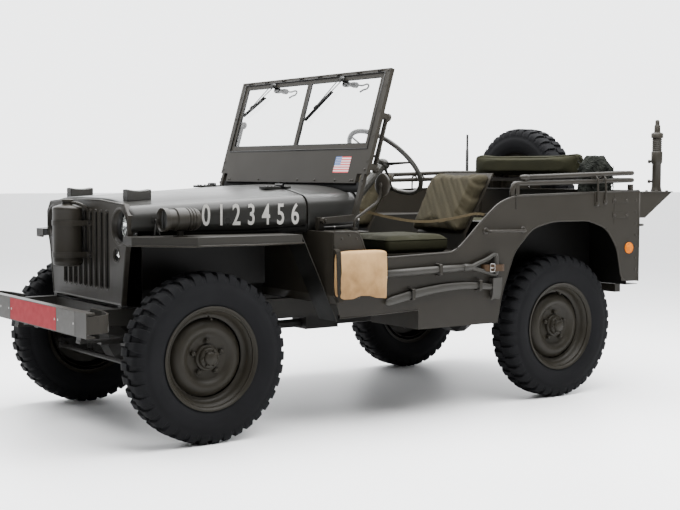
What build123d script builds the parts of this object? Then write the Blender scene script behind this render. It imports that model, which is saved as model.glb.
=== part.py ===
# Light army four-wheel-drive car, unarmed, as an assembly of separate pieces with real joints.
# Millimetres. While modelling, x is the car's left, y runs rearward from the front axle, z is up from the floor.
import os
from math import cos, pi, radians, sin

from build123d import *

os.makedirs("parts", exist_ok=True)

# Main sizes of the type, and the seat left between touching pieces
wheelbase = 2032.0
half_track = 613.0
body_half = 750.0
half_width = body_half + 37.5
front_y = -560.0
rear_y = wheelbase + 818
mid_y = (front_y + rear_y) / 2
sheet = 3.0
seat = 0.3
axle_z = 362.0

# Wheel and tyre
tyre_r = 362.0
lug_depth = 12.0
pitches = 18
rim_sides = 16
bead_r = 203.0
flange_r = 222.0

# Frame
rail_in = 326.0
rail_out = 371.0
rail_low = 480.0
rail_top = 559.7

# Body
floor_z = 560.0
floor_top = floor_z + sheet
fire_y = 566.0
panel_y = wheelbase + 493
panel_back = panel_y + sheet
side_top = 1051.0
side_in = body_half - sheet
house_in = 482.0
house_top = 902.0
house_y0 = wheelbase - 472
house_y1 = wheelbase + 408
ledge_z = 880.0
fender_z = 868.0
fender_out = 700.0

# Grille and lamps
grille_y = -262.0
grille_back = grille_y + sheet
lamp_x = 352.0
lamp_z = 908.0

# Screen
pivot_y = 600.0
pivot_z = 925.0
screen_lean = 16.3

# Steering
king_x = 508.0
steer_c = (350.0, 1150.0, 1190.0)
steer_tilt = 45.0
rim_r = 210.0
ball_x = king_x
ball_y = -165.0
ball_z = 300.0

written = []


def save(node, *pieces):
    """Write one node, moved so that the frame's origin is under the middle of the car."""
    solids = []
    for piece in pieces:
        solids += piece.solids()
    moved = [Pos(0, -mid_y, 0) * s for s in solids]
    export_step(Compound(children=moved) if len(moved) > 1 else moved[0], f"parts/{node}.step")
    written.append(node)


def block(x0, x1, y0, y1, z0, z1):
    """Box between two corners, in either order."""
    size = Box(abs(x1 - x0), abs(y1 - y0), abs(z1 - z0))
    return Pos((x0 + x1) / 2, (y0 + y1) / 2, (z0 + z1) / 2) * size


def yz_plate(points, x0, x1):
    """Plate from a closed outline in y and z, between two x."""
    plane = Plane(origin=(x0, 0, 0), x_dir=(0, 1, 0), z_dir=(1, 0, 0))
    return extrude(plane * make_face(Polyline(*points, close=True)), x1 - x0)


def xz_plate(points, y0, y1):
    """Plate from a closed outline in x and z, between two y."""
    plane = Plane(origin=(0, y1, 0), x_dir=(1, 0, 0), z_dir=(0, -1, 0))
    return extrude(plane * make_face(Polyline(*points, close=True)), y1 - y0)


def xy_plate(points, z0, z1):
    """Plate from a closed outline in x and y, between two z."""
    return extrude(Plane(origin=(0, 0, z0)) * make_face(Polyline(*points, close=True)), z1 - z0)


def rod(a, b, r, sides=0):
    """Straight bar between two points, round or many-sided."""
    a, b = Vector(*a), Vector(*b)
    plane = Plane(origin=a, z_dir=(b - a).normalized())
    outline = RegularPolygon(r, sides) if sides else Circle(r)
    return extrude(plane * outline, (b - a).length)


def mirrored(shape):
    """The same piece on the car's other side."""
    return mirror(shape, Plane.YZ)


def turned(sides, rows):
    """Many-sided body about x from a table of x, flat radius, walked along x."""
    rings = []
    for x, flat_r in rows:
        r = flat_r / cos(pi / sides)
        angles = [2 * pi * (n + 0.5) / sides for n in range(sides)]
        rings.append([Vector(x, r * cos(a), r * sin(a)) for a in angles])
    faces = [Face(Wire.make_polygon(rings[0])), Face(Wire.make_polygon(rings[-1]))]
    for low, high in zip(rings, rings[1:]):
        for n in range(sides):
            nxt = (n + 1) % sides
            faces.append(Face(Wire.make_polygon([low[n], low[nxt], high[nxt], high[n]])))
    return Solid(Shell(faces))


# Tyre: carcass with one flat for each pitch, and on each flat two tread bars, one a shoulder, half a pitch apart
tread_x = 60.0
carcass_r = tyre_r - lug_depth
bead_x = 60 - seat
tyre = turned(pitches, [(-bead_x, 230), (-80, 300), (-tread_x, carcass_r), (tread_x, carcass_r), (80, 300),
                        (bead_x, 230)])
lugs = []
for n in range(pitches):
    for end in (-1, 1):
        lug = block(6 * end, (tread_x - 1) * end, carcass_r - 10, tyre_r, 4 * end, 44 * end)
        lugs.append(Rot(360 / pitches * n, 0, 0) * lug)
tyre += lugs
tyre = Rot(90, 0, 0) * tyre - turned(rim_sides, [(-90, bead_r + seat), (90, bead_r + seat)])

# Wheel: pressed rim and dished disc; the road wheels have a drum and a hub. Outside is toward +x
plain_wheel = turned(rim_sides, [(-69, flange_r), (-60, bead_r), (60, bead_r), (69, flange_r)])
plain_wheel -= turned(rim_sides, [(-70, 190), (8, 190)])
plain_wheel -= turned(rim_sides, [(14, 190), (70, 190)])
plain_wheel += turned(12, [(13, 128), (30, 98)])
road_wheel = plain_wheel + turned(12, [(-36, 124), (9, 124)]) + rod((29, 0, 0), (60, 0, 0), 34)
road_wheel -= rod((-37, 0, 0), (-14, 0, 0), 17.8, 12)
spare_wheel = plain_wheel - rod((0, 0, 0), (31, 0, 0), 40, 12)
corners = [
    # name, side, y
    ("front_left", 1, 0.0),
    ("front_right", -1, 0.0),
    ("rear_left", 1, wheelbase),
    ("rear_right", -1, wheelbase),
]
for name, side, y in corners:
    place = Pos(side * half_track, y, axle_z) * Rot(0, 0, 0 if side > 0 else 180)
    save(f"tyre_{name}", place * tyre)
    save(f"wheel_{name}", place * road_wheel)

# Spare wheel, on a carrier at the rear panel
spare_x = -232.0
spare_y = panel_y + 101
spare_z = 1040.0
place = Pos(spare_x, spare_y, spare_z) * Rot(0, 0, 90)
save("spare_tyre", place * tyre)
save("spare_wheel", place * spare_wheel)
carrier = block(spare_x - 75, spare_x + 75, panel_back + seat, panel_back + 8, spare_z - 75, 1048)
carrier += rod((spare_x, panel_back + 4, spare_z - 20), (spare_x, spare_y + 8 - seat, spare_z - 20), 60, 10)
save("spare_carrier", carrier)

# Frame: two box rails joined by cross members
frame_end = panel_y + 35
rail = yz_plate([(front_y + 6 + seat, 500), (-100, rail_low), (frame_end, rail_low), (frame_end, rail_top),
                 (front_y + 6 + seat, rail_top)], rail_in, rail_out)
crossings = [
    # y from, y to, low z, high z
    (-265.0, -225.0, 505.0, 556.0),
    (-180.0, -110.0, 520.0, 556.0),
    (1270.0, 1330.0, 482.0, 530.0),
    (frame_end - 50, frame_end, 482.0, 552.0),
]
frame = rail + mirrored(rail)
for y0, y1, low, high in crossings:
    frame += block(-rail_in, rail_in, y0, y1, low, high)
save("frame_rails", frame)

# Front bumper: open channel with a swept gusset from each end to the rail
bumper_half = 670.0
bumper = block(-bumper_half, bumper_half, front_y, front_y + 38, 484, 586)
bumper -= block(-680, 680, front_y + 6, front_y + 40, 492, 578)
gusset = xy_plate([(667, front_y + 5), (664, -500), (642, -455), (590, -427), (500, -408), (rail_out + seat, -400),
                   (rail_out + seat, -408), (500, -416), (586, -435), (636, -462), (656, -502),
                   (658, front_y + 5)], 500, 572)
bumper += gusset + mirrored(gusset)
plate_holes_x = 114.0
plate_holes_pitch = 400.0
for end in (-1, 1):
    hole_x = plate_holes_x + end * plate_holes_pitch / 2
    bumper -= rod((hole_x, front_y - 1, 535), (hole_x, front_y + 7, 535), 4.5)
save("front_bumper", bumper)

# Axles: tube, offset differential, yokes at the front for the kingpins, drum plates at the rear.
# Of the pins on one axis, here and below, one is fully round and the rest are many-sided
diff_x = -150.0
housing = turned(12, [(-95, 56), (-50, 108), (50, 108), (95, 56)])
front = rod((-(king_x - 60), 0, axle_z), (king_x - 60, 0, axle_z), 36, 8) + Pos(diff_x, 0, axle_z) * housing
for side in (1, -1):
    yoke = [(king_x - 74, -104), (king_x + 20, -104), (king_x + 20, -92), (king_x - 56, -92), (king_x - 56, 92),
            (king_x + 20, 92), (king_x + 20, 104), (king_x - 74, 104)]
    front += xz_plate([(side * x, axle_z + z) for x, z in yoke], -28, 28)
    for up in (1, -1):
        pin_sides = 10 if up > 0 else 0
        front += rod((side * king_x, 0, axle_z + up * 70), (side * king_x, 0, axle_z + up * 94), 10, pin_sides)
save("front_axle", front)
rear = rod((-550, wheelbase, axle_z), (550, wheelbase, axle_z), 36, 8) + Pos(diff_x, wheelbase, axle_z) * housing
for side in (1, -1):
    rear += Pos(side * 552, wheelbase, axle_z) * turned(12, [(-4, 136), (4, 136)])
    rear += rod((side * 556, wheelbase, axle_z), (side * 595, wheelbase, axle_z), 17, 12)
save("rear_axle", rear)

# Steering knuckles: kingpin housing, backing plate, stub and arm
arm_z = ball_z + 18
for name, side in (("left", 1), ("right", -1)):
    knuckle = rod((side * king_x, 0, axle_z - 88), (side * king_x, 0, axle_z + 88), 34, 8)
    knuckle += rod((side * king_x, 0, axle_z), (side * 568, 0, axle_z), 44, 8)
    knuckle += Pos(side * 570, 0, axle_z) * turned(12, [(-3, 124), (3, 124)])
    knuckle += rod((side * 573, 0, axle_z), (side * 595, 0, axle_z), 17, 12)
    knuckle += block(side * (ball_x - 16), side * (ball_x + 16), ball_y - 14, -10, arm_z, arm_z + 16)
    for up in (1, -1):
        knuckle -= rod((side * king_x, 0, axle_z + up * 68), (side * king_x, 0, axle_z + up * 90), 11, 10)
    knuckle -= rod((side * ball_x, ball_y, arm_z - 1), (side * ball_x, ball_y, arm_z + 17), 8, 8)
    save(f"knuckle_{name}", knuckle)

# Tie rod between the two arms
tie = rod((-ball_x, ball_y, ball_z), (ball_x, ball_y, ball_z), 12, 8)
for side in (1, -1):
    tie += rod((side * ball_x, ball_y, ball_z - 13), (side * ball_x, ball_y, ball_z + 13), 16, 8)
    tie += rod((side * ball_x, ball_y, ball_z + 12), (side * ball_x, ball_y, arm_z + 20), 7, 0 if side > 0 else 8)
save("tie_rod", tie)

# Leaf springs with shackles and axle pads, and a shock absorber at each wheel
leaves = [
    # half length, low z, high z
    (455.0, 424.0, 434.0),
    (360.0, 414.0, 424.0),
    (250.0, 398 + seat, 414.0),
]
shock_r = 22.0
springs = []
shocks = []
for y in (0.0, wheelbase):
    for side in (1, -1):
        stack = None
        for half, low, high in leaves:
            leaf = block(side * rail_in, side * rail_out, y - half, y + half, low, high)
            stack = leaf if stack is None else stack + leaf
        for end in (-1, 1):
            hook_y = y + end * 440
            stack += block(side * rail_in, side * rail_out, hook_y - 12, hook_y + 12, 434, rail_low - seat)
        springs.append(stack)
        shock_x = side * (rail_out + seat + shock_r)
        shock_y = y + 36 + seat + shock_r
        shocks.append(rod((shock_x, shock_y, 340), (shock_x, shock_y, 548), shock_r, 8))
save("suspension", *springs, *shocks)

# Engine as one plain block on two feet, radiator, drivetrain (gearbox with transfer case, two shafts), exhaust
engine = block(-200, 200, -20, 545, 508, 890) + block(-rail_in + seat, rail_in - seat, 20, 60, 510, 540)
save("engine_block", engine)
save("radiator", block(-250, 250, -180, -110, 556 + seat, 955))
gearbox = block(-100, 100, 545 + seat, 1270 - seat, 430, 552) + block(-215, -85, 980, 1180, 340, 500)
shaft_z = 368.0
rear_shaft = rod((diff_x, 1180 + seat, shaft_z), (diff_x, wheelbase - 108 - seat, shaft_z), 22, 10)
front_shaft = rod((diff_x, 108 + seat, shaft_z), (diff_x, 980 - seat, shaft_z), 22, 10)
save("drivetrain", gearbox, front_shaft, rear_shaft)
pipe_x = -262.0
exhaust = rod((pipe_x, 560, 415), (pipe_x, 1195, 415), 20, 10)
exhaust += rod((pipe_x, 1190, 415), (pipe_x, wheelbase - 332, 415), 46, 14)
exhaust += block(pipe_x - 8, pipe_x + 8, 1400, 1420, 455, floor_z - seat)
exhaust += block(pipe_x - 8, pipe_x + 8, 620, 636, 430, floor_z - seat)
save("exhaust", exhaust)


# Hood and cowl: one rounded section drawn out along its side edge, so that it widens to the rear
shoulder_r = 62.0
shoulder_drop = 30.0


def section(y, half, low, top, inset):
    """Left half of the section: straight side, round shoulder and crowned top, inset by the sheet."""
    r = shoulder_r - inset
    side, crest = half - inset, top - inset
    bend_z = crest - shoulder_drop - r
    knee = (side - r * (1 - cos(pi / 4)), bend_z + r * sin(pi / 4))
    edges = Line((side, low), (side, bend_z)) + ThreePointArc((side, bend_z), knee, (side - r, bend_z + r))
    edges += Polyline((side - r, bend_z + r), (side - 130, crest - 14), (side - 220, crest - 4), (side - 330, crest),
                      (-200, crest), (-200, low), (side, low))
    plane = Plane(origin=(0, y, 0), x_dir=(1, 0, 0), z_dir=(0, -1, 0))
    return plane * make_face(edges)


def solid_between(front, rear, inset):
    """Both halves, drawn from the front section to the rear one."""
    along = Vector(rear[1] - front[1], rear[0] - front[0], rear[3] - front[3])
    half = split(extrude(section(*front, inset), along.length, dir=along.normalized()), Plane.YZ, keep=Keep.TOP)
    return half + mirrored(half)


def shell(front, rear):
    """Sheet between two sections, open below and at both ends."""
    lower = (front[0], front[1], front[2] - 200, front[3])
    return solid_between(front, rear, 0) - solid_between(lower, rear, sheet)


hood_rear = fire_y - 6
# y, half width, lower edge z, top z
hood_front_row = (-250.0, 436.0, 861.0, 1028.0)
hood_rear_row = (hood_rear, 548.0, 905.0, 1072.0)
cowl_front_row = (fire_y, 550.0, 872.0, 1073.0)
cowl_rear_row = (832.0, 575.0, 882.0, 1083.0)
hinge_y = fire_y - 3
hinge_z = 1081.0
hood = shell(hood_front_row, hood_rear_row) - block(-600, 600, -260, 600, 800, 890)
cowl = shell(cowl_front_row, cowl_rear_row) - block(-600, 600, 500, 900, 800, ledge_z + seat)
for side in (1, -1):
    knuckle = block(side * 300, side * 330, 535, hood_rear - 0.5, 1052, hinge_z + 7)
    knuckle += rod((side * 300, hinge_y, hinge_z), (side * 330, hinge_y, hinge_z), 7.4, 8)
    knuckle -= rod((side * 299, hinge_y, hinge_z), (side * 331, hinge_y, hinge_z), 4.8, 8)
    hood += knuckle
    lug = block(side * 284, side * 294, fire_y + 0.5, fire_y + 12, 1052, hinge_z + 6)
    lug += block(side * 284, side * 294, hood_rear - 3, fire_y + 1, 1075, hinge_z + 6)
    cowl += lug + rod((side * 285, hinge_y, hinge_z), (side * 330, hinge_y, hinge_z), 4, 0 if side > 0 else 8)
save("hood", hood)
over = Pos(0, 0, seat) * solid_between(hood_front_row, hood_rear_row, 0)
rests = []
for side in (1, -1):
    rest = yz_plate([(-211, 1000), (-98, 1000), (-98, 1064), (-108, 1068), (-130, 1062), (-154, 1060), (-178, 1062),
                     (-201, 1067), (-211, 1063)], *sorted((side * 274, side * 326)))
    rests.append(rest - over)
save("hood_blocks", *rests)
save("cowl", cowl)

# Firewall: upright wall, sloped toe board, ledges beside the cowl, posts with the screen's pivots; and the dash panel
toe = 0.483
wall = [(fire_y, 877), (fire_y + sheet, 877), (fire_y + sheet, 600.7), (fire_y + sheet + 37 * toe, floor_top + 0.5),
        (fire_y + 36.5 * toe, floor_top + 0.5), (fire_y, 600)]
firewall = yz_plate(wall, -side_in + seat, side_in - seat)
for side in (1, -1):
    firewall += block(side * 546, side * (side_in - seat), fire_y, 760, ledge_z - sheet, ledge_z)
    firewall += block(side * 580, side * 604, 585, 615, ledge_z - 1, 940)
    firewall += rod((side * 602, pivot_y, pivot_z), (side * 650, pivot_y, pivot_z), 8, 0 if side > 0 else 10)
save("firewall", firewall)
dash_row = (803.0, 572.3, 905.0, 1081.9)
dash_half = split(extrude(section(*dash_row, sheet + seat), 3), Plane.YZ, keep=Keep.TOP)
save("dash_panel", dash_half + mirrored(dash_half))

# Grille: flat stamping with nine slots, headlamp holes and marker holes, on two feet
slot_pitch = 56.0
outline = [(-364, 575), (364, 575), (404, 800), (432, 880), (432, 955), (392, 1003), (150, 1019), (-150, 1019),
           (-392, 1003), (-432, 955), (-432, 880), (-404, 800)]
slot = [(-15, 640), (-8, 632), (8, 632), (15, 640), (15, 962), (8, 970), (-8, 970), (-15, 962)]
rim_depth = 20.0
stamping = Plane(origin=(0, grille_y + rim_depth, 0), x_dir=(1, 0, 0), z_dir=(0, -1, 0))
face = make_face(Polyline(*outline, close=True))
grille = extrude(stamping * face, rim_depth)
grille -= extrude(stamping * offset(face, -sheet, kind=Kind.INTERSECTION), rim_depth - sheet)
grille -= block(-500, 500, grille_back, grille_y + 30, 850, 1100)
for side in (1, -1):
    grille += block(side * 330, side * 362, grille_y, grille_back, rail_top + seat, 580)
    grille -= rod((side * lamp_x, grille_y - 5, lamp_z), (side * lamp_x, grille_y + 5, lamp_z), 71, 18)
    grille -= rod((side * 318, grille_y - 5, 786), (side * 318, grille_y + 5, 786), 28, 10)
for n in range(9):
    grille -= xz_plate([(slot_pitch * (n - 4) + x, z) for x, z in slot], grille_y - 5, grille_y + 5)
save("grille", grille)
lamps = []
for side in (1, -1):
    lamps.append(rod((side * lamp_x, grille_back + seat, lamp_z), (side * lamp_x, -190, lamp_z), 72, 18))
    lamps.append(rod((side * 318, grille_back + seat, 786), (side * 318, -225, 786), 30, 10))
save("headlamps", *lamps)

# Surge tank on two brackets in front of the grille
tank_x = -36.0
tank_y = -332.0
tank = Pos(tank_x, tank_y, 0) * Rot(0, -90, 0) * turned(18, [(722, 40), (740, 65), (978, 65), (996, 40)])
for z in (760.0, 900.0):
    for side in (1, -1):
        tank += block(tank_x + side * 60, tank_x + side * 67, tank_y, grille_y - seat, z, z + 24)
        tank += block(tank_x + side * 60, tank_x + side * 92, grille_y - 4, grille_y - seat, z, z + 24)
save("surge_tank", tank)

# Front fenders: flat top with a lip, rear strip to the foot, inner apron and bracket
inner_x = 390.0
strip_y = fire_y - seat
top = xy_plate([(432 + seat, -286), (512, -286), (fender_out, -77), (fender_out, 436), (inner_x, 436),
                (inner_x, -180), (432 + seat, -180)], fender_z, fender_z + sheet)
lip = xy_plate([(432 + seat, -286), (512, -286), (fender_out, -77), (fender_out, 436), (697, 436), (697, -76),
                (510.6, -283), (432 + seat, -283)], 832, fender_z + 1)
strip = yz_plate([(strip_y - 272 * toe - 4, 872), (strip_y - 272 * toe, 872), (strip_y + 120 * toe, 480),
                  (strip_y + 120 * toe - 4, 480)], 560, fender_out)
strip += block(inner_x, fender_out, 430, 436, fender_z, fender_z + sheet)
apron = block(inner_x, inner_x + sheet, -180, 436, 640, fender_z + 1)
apron += block(rail_out + seat, inner_x + sheet, 110, 150, 505, 645)
fender = top + lip + strip + apron
save("fenders", fender, mirrored(fender))

# Covered driving lamp on the left fender
lamp_rows = [
    # y, flat radius: visor, waist, cup and rounded back
    (-172.0, 50.0),
    (-150.0, 49.0),
    (-148.0, 43.0),
    (-116.0, 43.0),
    (-114.0, 49.0),
    (-32.0, 49.0),
    (-8.0, 41.0),
    (8.0, 22.0),
]
hood_lamp = Pos(560, 0, 942) * Rot(0, 0, 90) * turned(14, lamp_rows)
hood_lamp += block(545, 575, -100, -70, fender_z + sheet + seat, 900)
save("fender_lamp", hood_lamp)

# Body floor, sides with the door cut and wheel arch, wheel houses, rear panel
floor_split = house_y0 - 120
well_front = 1042.0
well_low = 420.0
floor = block(-side_in + seat, side_in - seat, 587.4, floor_split - seat, floor_z, floor_top)
load_floor = block(-side_in + seat, side_in - seat, floor_split, panel_y - seat, floor_z, floor_top)
for side in (1, -1):
    load_floor -= block(side * (house_in - seat), side * (body_half + 10), house_y0 - seat, house_y1 + seat,
                        floor_z - 1, floor_top + 1)
well = block(390, side_in - seat, well_front, 1500, well_low, floor_z - seat)
well -= block(390 + sheet, body_half, well_front + sheet, 1500 - sheet, well_low + sheet, floor_z)
save("body_floor", floor, load_floor, well)
side_start = fire_y + sheet + seat
arch_y = wheelbase
side_outline = [
    (side_start, 604), (604, 500), (well_front, 512), (well_front, well_low), (arch_y - 501, well_low),
    (arch_y - 472, 560), (arch_y - 392, 760),
    (arch_y - 272, 870), (arch_y - 132, 902), (arch_y + 118, 902), (arch_y + 248, 860), (arch_y + 328, 760),
    (arch_y + 368, 581),
    (panel_y - seat, 581), (panel_y - seat, side_top), (arch_y - 392, 1030), (arch_y - 492, 1000),
    (arch_y - 592, 925), (arch_y - 680, 846), (arch_y - 732, 800), (arch_y - 785, 769), (849, 757), (760, 770),
    (735, 800), (705, 880), (side_start, 880),
]
socket_y = arch_y - 432
side_sheet = yz_plate(side_outline, side_in, body_half)
side_sheet += block(side_in - 30, side_in + 1, socket_y - 16, socket_y + 16, 950, 1010)
side_sheet -= rod((side_in - 15, socket_y, 949), (side_in - 15, socket_y, 1011), 12.5)
save("body_sides", side_sheet, mirrored(side_sheet))
house = block(house_in, side_in - seat, house_y0, house_y1, floor_z, house_top)
house -= block(house_in + sheet, body_half, house_y0 + sheet, house_y1 - sheet, floor_z - 1, house_top - sheet)
save("wheel_houses", house, mirrored(house))
save("rear_panel", block(-body_half, body_half, panel_y, panel_back, 575, side_top))

# Front frames, cushions and backs
frames = []
cushions = []
backs = []
for side in (1, -1):
    x0, x1 = side * 190, side * 600
    base = block(x0 + side * 5, x1 - side * 5, 985, 1470, 742, 760)
    for leg_x in (x0 + side * 18, x1 - side * 18):
        for leg_y in (1000, 1392):
            base += block(leg_x - 10, leg_x + 10, leg_y - 10, leg_y + 10, floor_top + seat, 745)
    base += yz_plate([(1462, 755), (1470, 755), (1477, 842), (1654, 1140), (1646, 1140), (1469, 842)],
                     min(x0, x1) + 20, max(x0, x1) - 20)
    frames.append(base)
    cushions.append(block(x0, x1, 970, 1390, 760 + seat, 838))
    backs.append(yz_plate([(1394, 842), (1469 - 0.35, 842), (1640 - 0.35, 1130), (1565, 1130)], min(x0, x1),
                          max(x0, x1)))
save("fuel_tank", block(226, 564, 1020, 1370, floor_top + seat, 735))

# Rear bench: plate on brackets from the wheel houses, uprights and a top bar that carry the back
bench_y = panel_y - 545
bench = block(-430, 430, bench_y, bench_y + 472, 782, 800)
for side in (1, -1):
    for bracket_y in (bench_y + 10, bench_y + 420):
        bench += block(side * 425, side * (house_in - seat), bracket_y, bracket_y + 30, 774, 790)
    bench += block(side * 400, side * 420, bench_y + 450, bench_y + 470, 785, 1100)
bench += block(-430, 430, bench_y + 446, bench_y + 472, 1096, 1115 - seat)
frames.append(bench)
cushions.append(block(-435, 435, bench_y, bench_y + 400, 800 + seat, 880))
backs.append(block(-440, 440, bench_y + 415, bench_y + 495, 1115, 1257))
save("seat_frames", *frames)
save("seat_cushions", *cushions)
save("seat_backs", *backs)

# Screen: outer frame with legs to the pivots, lower panel, inner frame and two panes
lean = radians(screen_lean)
screen_plane = Plane(origin=(0, 845, 1251), x_dir=(1, 0, 0), z_dir=(0, cos(lean), -sin(lean)))
screen_up = screen_plane.y_dir.Z
sign = 1 if screen_up > 0 else -1


def screen_box(x0, x1, h0, h1, t0, t1):
    """Box in the screen's own plane: x across, h up the slope above the panes, t back from its front face."""
    size = Box(abs(x1 - x0), abs(h1 - h0), abs(t1 - t0))
    return screen_plane * Pos((x0 + x1) / 2, sign * (h0 + h1) / 2, (t0 + t1) / 2) * size


screen_half = 655.0
screen = screen_box(-screen_half, screen_half, -186, 383, 0, 20)
screen -= screen_box(-615, 615, 0, 366, -1, 21)
screen -= screen_box(-584, 584, -200, -165, -1, 21)
for side in (1, -1):
    screen -= screen_box(side * 584, side * 618, -200, -120, -1, 21)
    screen -= screen_box(side * 640, side * 660, -200, -120, -1, 21)
    screen += screen_box(side * 618, side * 640, -325, -120, 0, 20)
    arm = yz_plate([(600, 912), (776, 922), (782, 952), (600, 940)], *sorted((side * 618, side * 640)))
    screen += arm + rod((side * 618, pivot_y, pivot_z), (side * 640, pivot_y, pivot_z), 16, 8)
    screen -= rod((side * 600, pivot_y, pivot_z), (side * 650, pivot_y, pivot_z), 8.8, 12)
for side in (1, -1):
    for h in (-92, 150):
        screen += screen_box(side * 622, side * 652, h, h + 26, 19, 58)
    for x in (629, 645):
        ends = [screen_plane * Pos(side * x, sign * h, 50) for h in (-80, 165)]
        screen += rod(ends[0].position, ends[1].position, 6, 8)
save("screen_frame", screen)
inner = screen_box(-615 + seat, 615 - seat, seat, 366 - seat, 3, 17)
for side in (1, -1):
    inner -= screen_box(side * 14, side * 590, 26, 344, 2, 18)
save("screen_inner_frame", inner)
panes = []
for side in (1, -1):
    panes.append(screen_box(side * (14 + seat), side * (590 - seat), 26 + seat, 344 - seat, 7, 12))
save("screen_glass", *panes)

# Steering column from the firewall, and the steering wheel on its shaft
tilt = radians(steer_tilt)
steer_plane = Plane(origin=steer_c, x_dir=(1, 0, 0), z_dir=(0, sin(tilt), cos(tilt)))
column = extrude(steer_plane.offset(-30) * RegularPolygon(22, 12), -769)
column += block(320, 380, fire_y + sheet + seat, 606, 606, 664)
column -= extrude(steer_plane.offset(-29) * RegularPolygon(9.2, 10), -60)
save("steering_column", column)
rim_rows = [
    # height, inner radius, outer radius
    (-9.0, rim_r - 5, rim_r + 5),
    (0.0, rim_r - 9, rim_r + 9),
    (9.0, rim_r - 5, rim_r + 5),
]
outside = turned(16, [(z, outer) for z, inner, outer in rim_rows])
inside = turned(16, [(z, inner) for z, inner, outer in rim_rows])
steering = Rot(0, -90, 0) * (outside - inside)
steering += extrude(Plane.XY.offset(-22) * RegularPolygon(30, 12), 28) + Pos(0, 0, -50) * Cylinder(8, 60)
for n in range(3):
    steering += Rot(0, 0, 120 * n + 90) * Pos(115, 0, 0) * Box(180, 12, 6)
save("steering_wheel", steer_plane.location * steering)

# Tools, bag and handles on the body sides
side_x = body_half + seat
shovel = rod((side_x + 16, 834.5, 687), (side_x + 16, 1330, 697), 16, 10)
for fork_z, grip_z in ((703, 750), (691, 658)):
    shovel += rod((side_x + 16, 1322, fork_z), (side_x + 16, 1505, grip_z), 10, 8)
shovel += rod((side_x + 16, 1505, 644), (side_x + 16, 1505, 762), 13, 8)
axe_rows = [
    # y, lower edge z, upper edge z of the curved handle
    (835.0, 536.0, 576.0),
    (1000.0, 566.0, 610.0),
    (1160.0, 588.0, 628.0),
    (1330.0, 592.0, 628.0),
    (1520.0, 576.0, 606.0),
]
handle_low = [(y, low) for y, low, high in axe_rows]
handle_high = [(y, high) for y, low, high in axe_rows]
axe = yz_plate(handle_low + handle_high[::-1], side_x + 4, side_x + 26)
axe += yz_plate([(1478, 532), (1500, 540), (1526, 540), (1534, 566), (1534, 640), (1476, 640), (1476, 580)],
                side_x, side_x + 30)
save("tools", shovel, axe)
save("canvas_bag", block(side_x, half_width, 560, 834, 560, 795))
handle = block(side_x, half_width, 1440, 1458, 858, 870) + block(side_x, half_width, 1682, 1700, 858, 870)
handle += block(half_width - 12, half_width, 1440, 1700, 858, 870)
loop = block(560, 700, panel_back + 98, panel_back + 110, 861, 873)
for x in (560, 688):
    loop += block(x, x + 12, panel_back + seat, panel_back + 110, 861, 873)
save("grab_handles", handle, mirrored(handle), loop, mirrored(loop))

# Mirror on an arm from the left ledge
mirror_arm = rod((664, 740, ledge_z + 10), (668, 893, 1040), 6, 8) + block(652, 676, 725, 750, ledge_z + seat, 893)
mirror_arm += rod((668, 884, 1085), (668, 900, 1085), 53, 20)
save("side_mirror", mirror_arm)

# Top bows, folded: two hoops lying level around the body's rear, on posts inside the sides
bow_x = side_in - seat - 12
bows = []
hoops = [
    # y of the front end, front z, rear z, y of the cross part
    (socket_y + 100, 1118.0, 1143.0, panel_y - 17),
    (socket_y + 40, 1088.0, 1106.0, panel_y - 17),
]
bow = None
for end_y, low, high, cross_y in hoops:
    hoop = rod((bow_x, end_y, low), (bow_x, cross_y + 12, high), 12, 8)
    hoop += mirrored(hoop)
    hoop += rod((bow_x, cross_y, high), (-bow_x, cross_y, high), 12, 8)
    bow = hoop if bow is None else bow + hoop
for post_y in (socket_y + 60, panel_y - 55):
    post = block(bow_x - 8, side_in - seat, post_y - 12, post_y + 12, 960, 1112)
    bow += post + mirrored(post)
clip = block(bow_x - 8, bow_x + 8, socket_y + 110, socket_y + 126, 1088, 1124)
bow += clip + mirrored(clip)
save("top_bows", bow)

# Rear fittings: antenna bracket and mast, right mast, pintle hook, bumper guards, net bundle
bracket = block(590, 700, panel_back + seat, rear_y, 1040, 1046)
bracket += yz_plate([(panel_back + seat, 905), (panel_back + seat, 1041), (rear_y, 1041), (panel_back + 110, 905)],
                    690, 696)
mast_y = rear_y - 70
mast_rows = [
    # z, flat radius: base tube, collar, spring, clamp and tip
    (1046 + seat, 23.0),
    (1190.0, 23.0),
    (1200.0, 27.0),
    (1255.0, 27.0),
    (1258.0, 25.0),
    (1330.0, 25.0),
    (1334.0, 30.0),
    (1352.0, 30.0),
    (1360.0, 14.0),
    (1432.0, 12.0),
]
mast = Pos(643, mast_y, 0) * Rot(0, -90, 0) * turned(12, mast_rows)
right_y = panel_back + 12
right_mast = block(-655, -625, panel_back + seat, right_y + 12, 985, 1048)
right_mast += rod((-640, right_y, 1047), (-640, right_y, 1376), 8, 8)
save("antennas", bracket, mast, right_mast)
eye_y = frame_end + 92
hook = block(-60, 60, frame_end + seat, frame_end + 12, 488, 548)
hook += block(-22, 22, frame_end + 11, eye_y - 12, 500, 536)
hook += rod((0, eye_y, 500), (0, eye_y, 548), 30, 16) - rod((0, eye_y, 499), (0, eye_y, 549), 16, 12)
guard = block(300, 560, frame_end + seat, frame_end + 40, 500, 545)
save("rear_hook_and_guards", hook, guard, mirrored(guard))
net = Rot(0, -90, 0) * turned(10, [(house_top + seat, 80), (1180, 95), (1235, 60)])
net = Pos(body_half - 195, panel_y - 125, 0) * net
save("net_bundle", net)

print(len(written), "nodes written")
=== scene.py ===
"""A light, unarmed army car with four driven wheels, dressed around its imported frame."""
import random
from math import cos, pi, radians, sin

import bmesh
import bpy
from mathutils import Matrix, Vector


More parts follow.
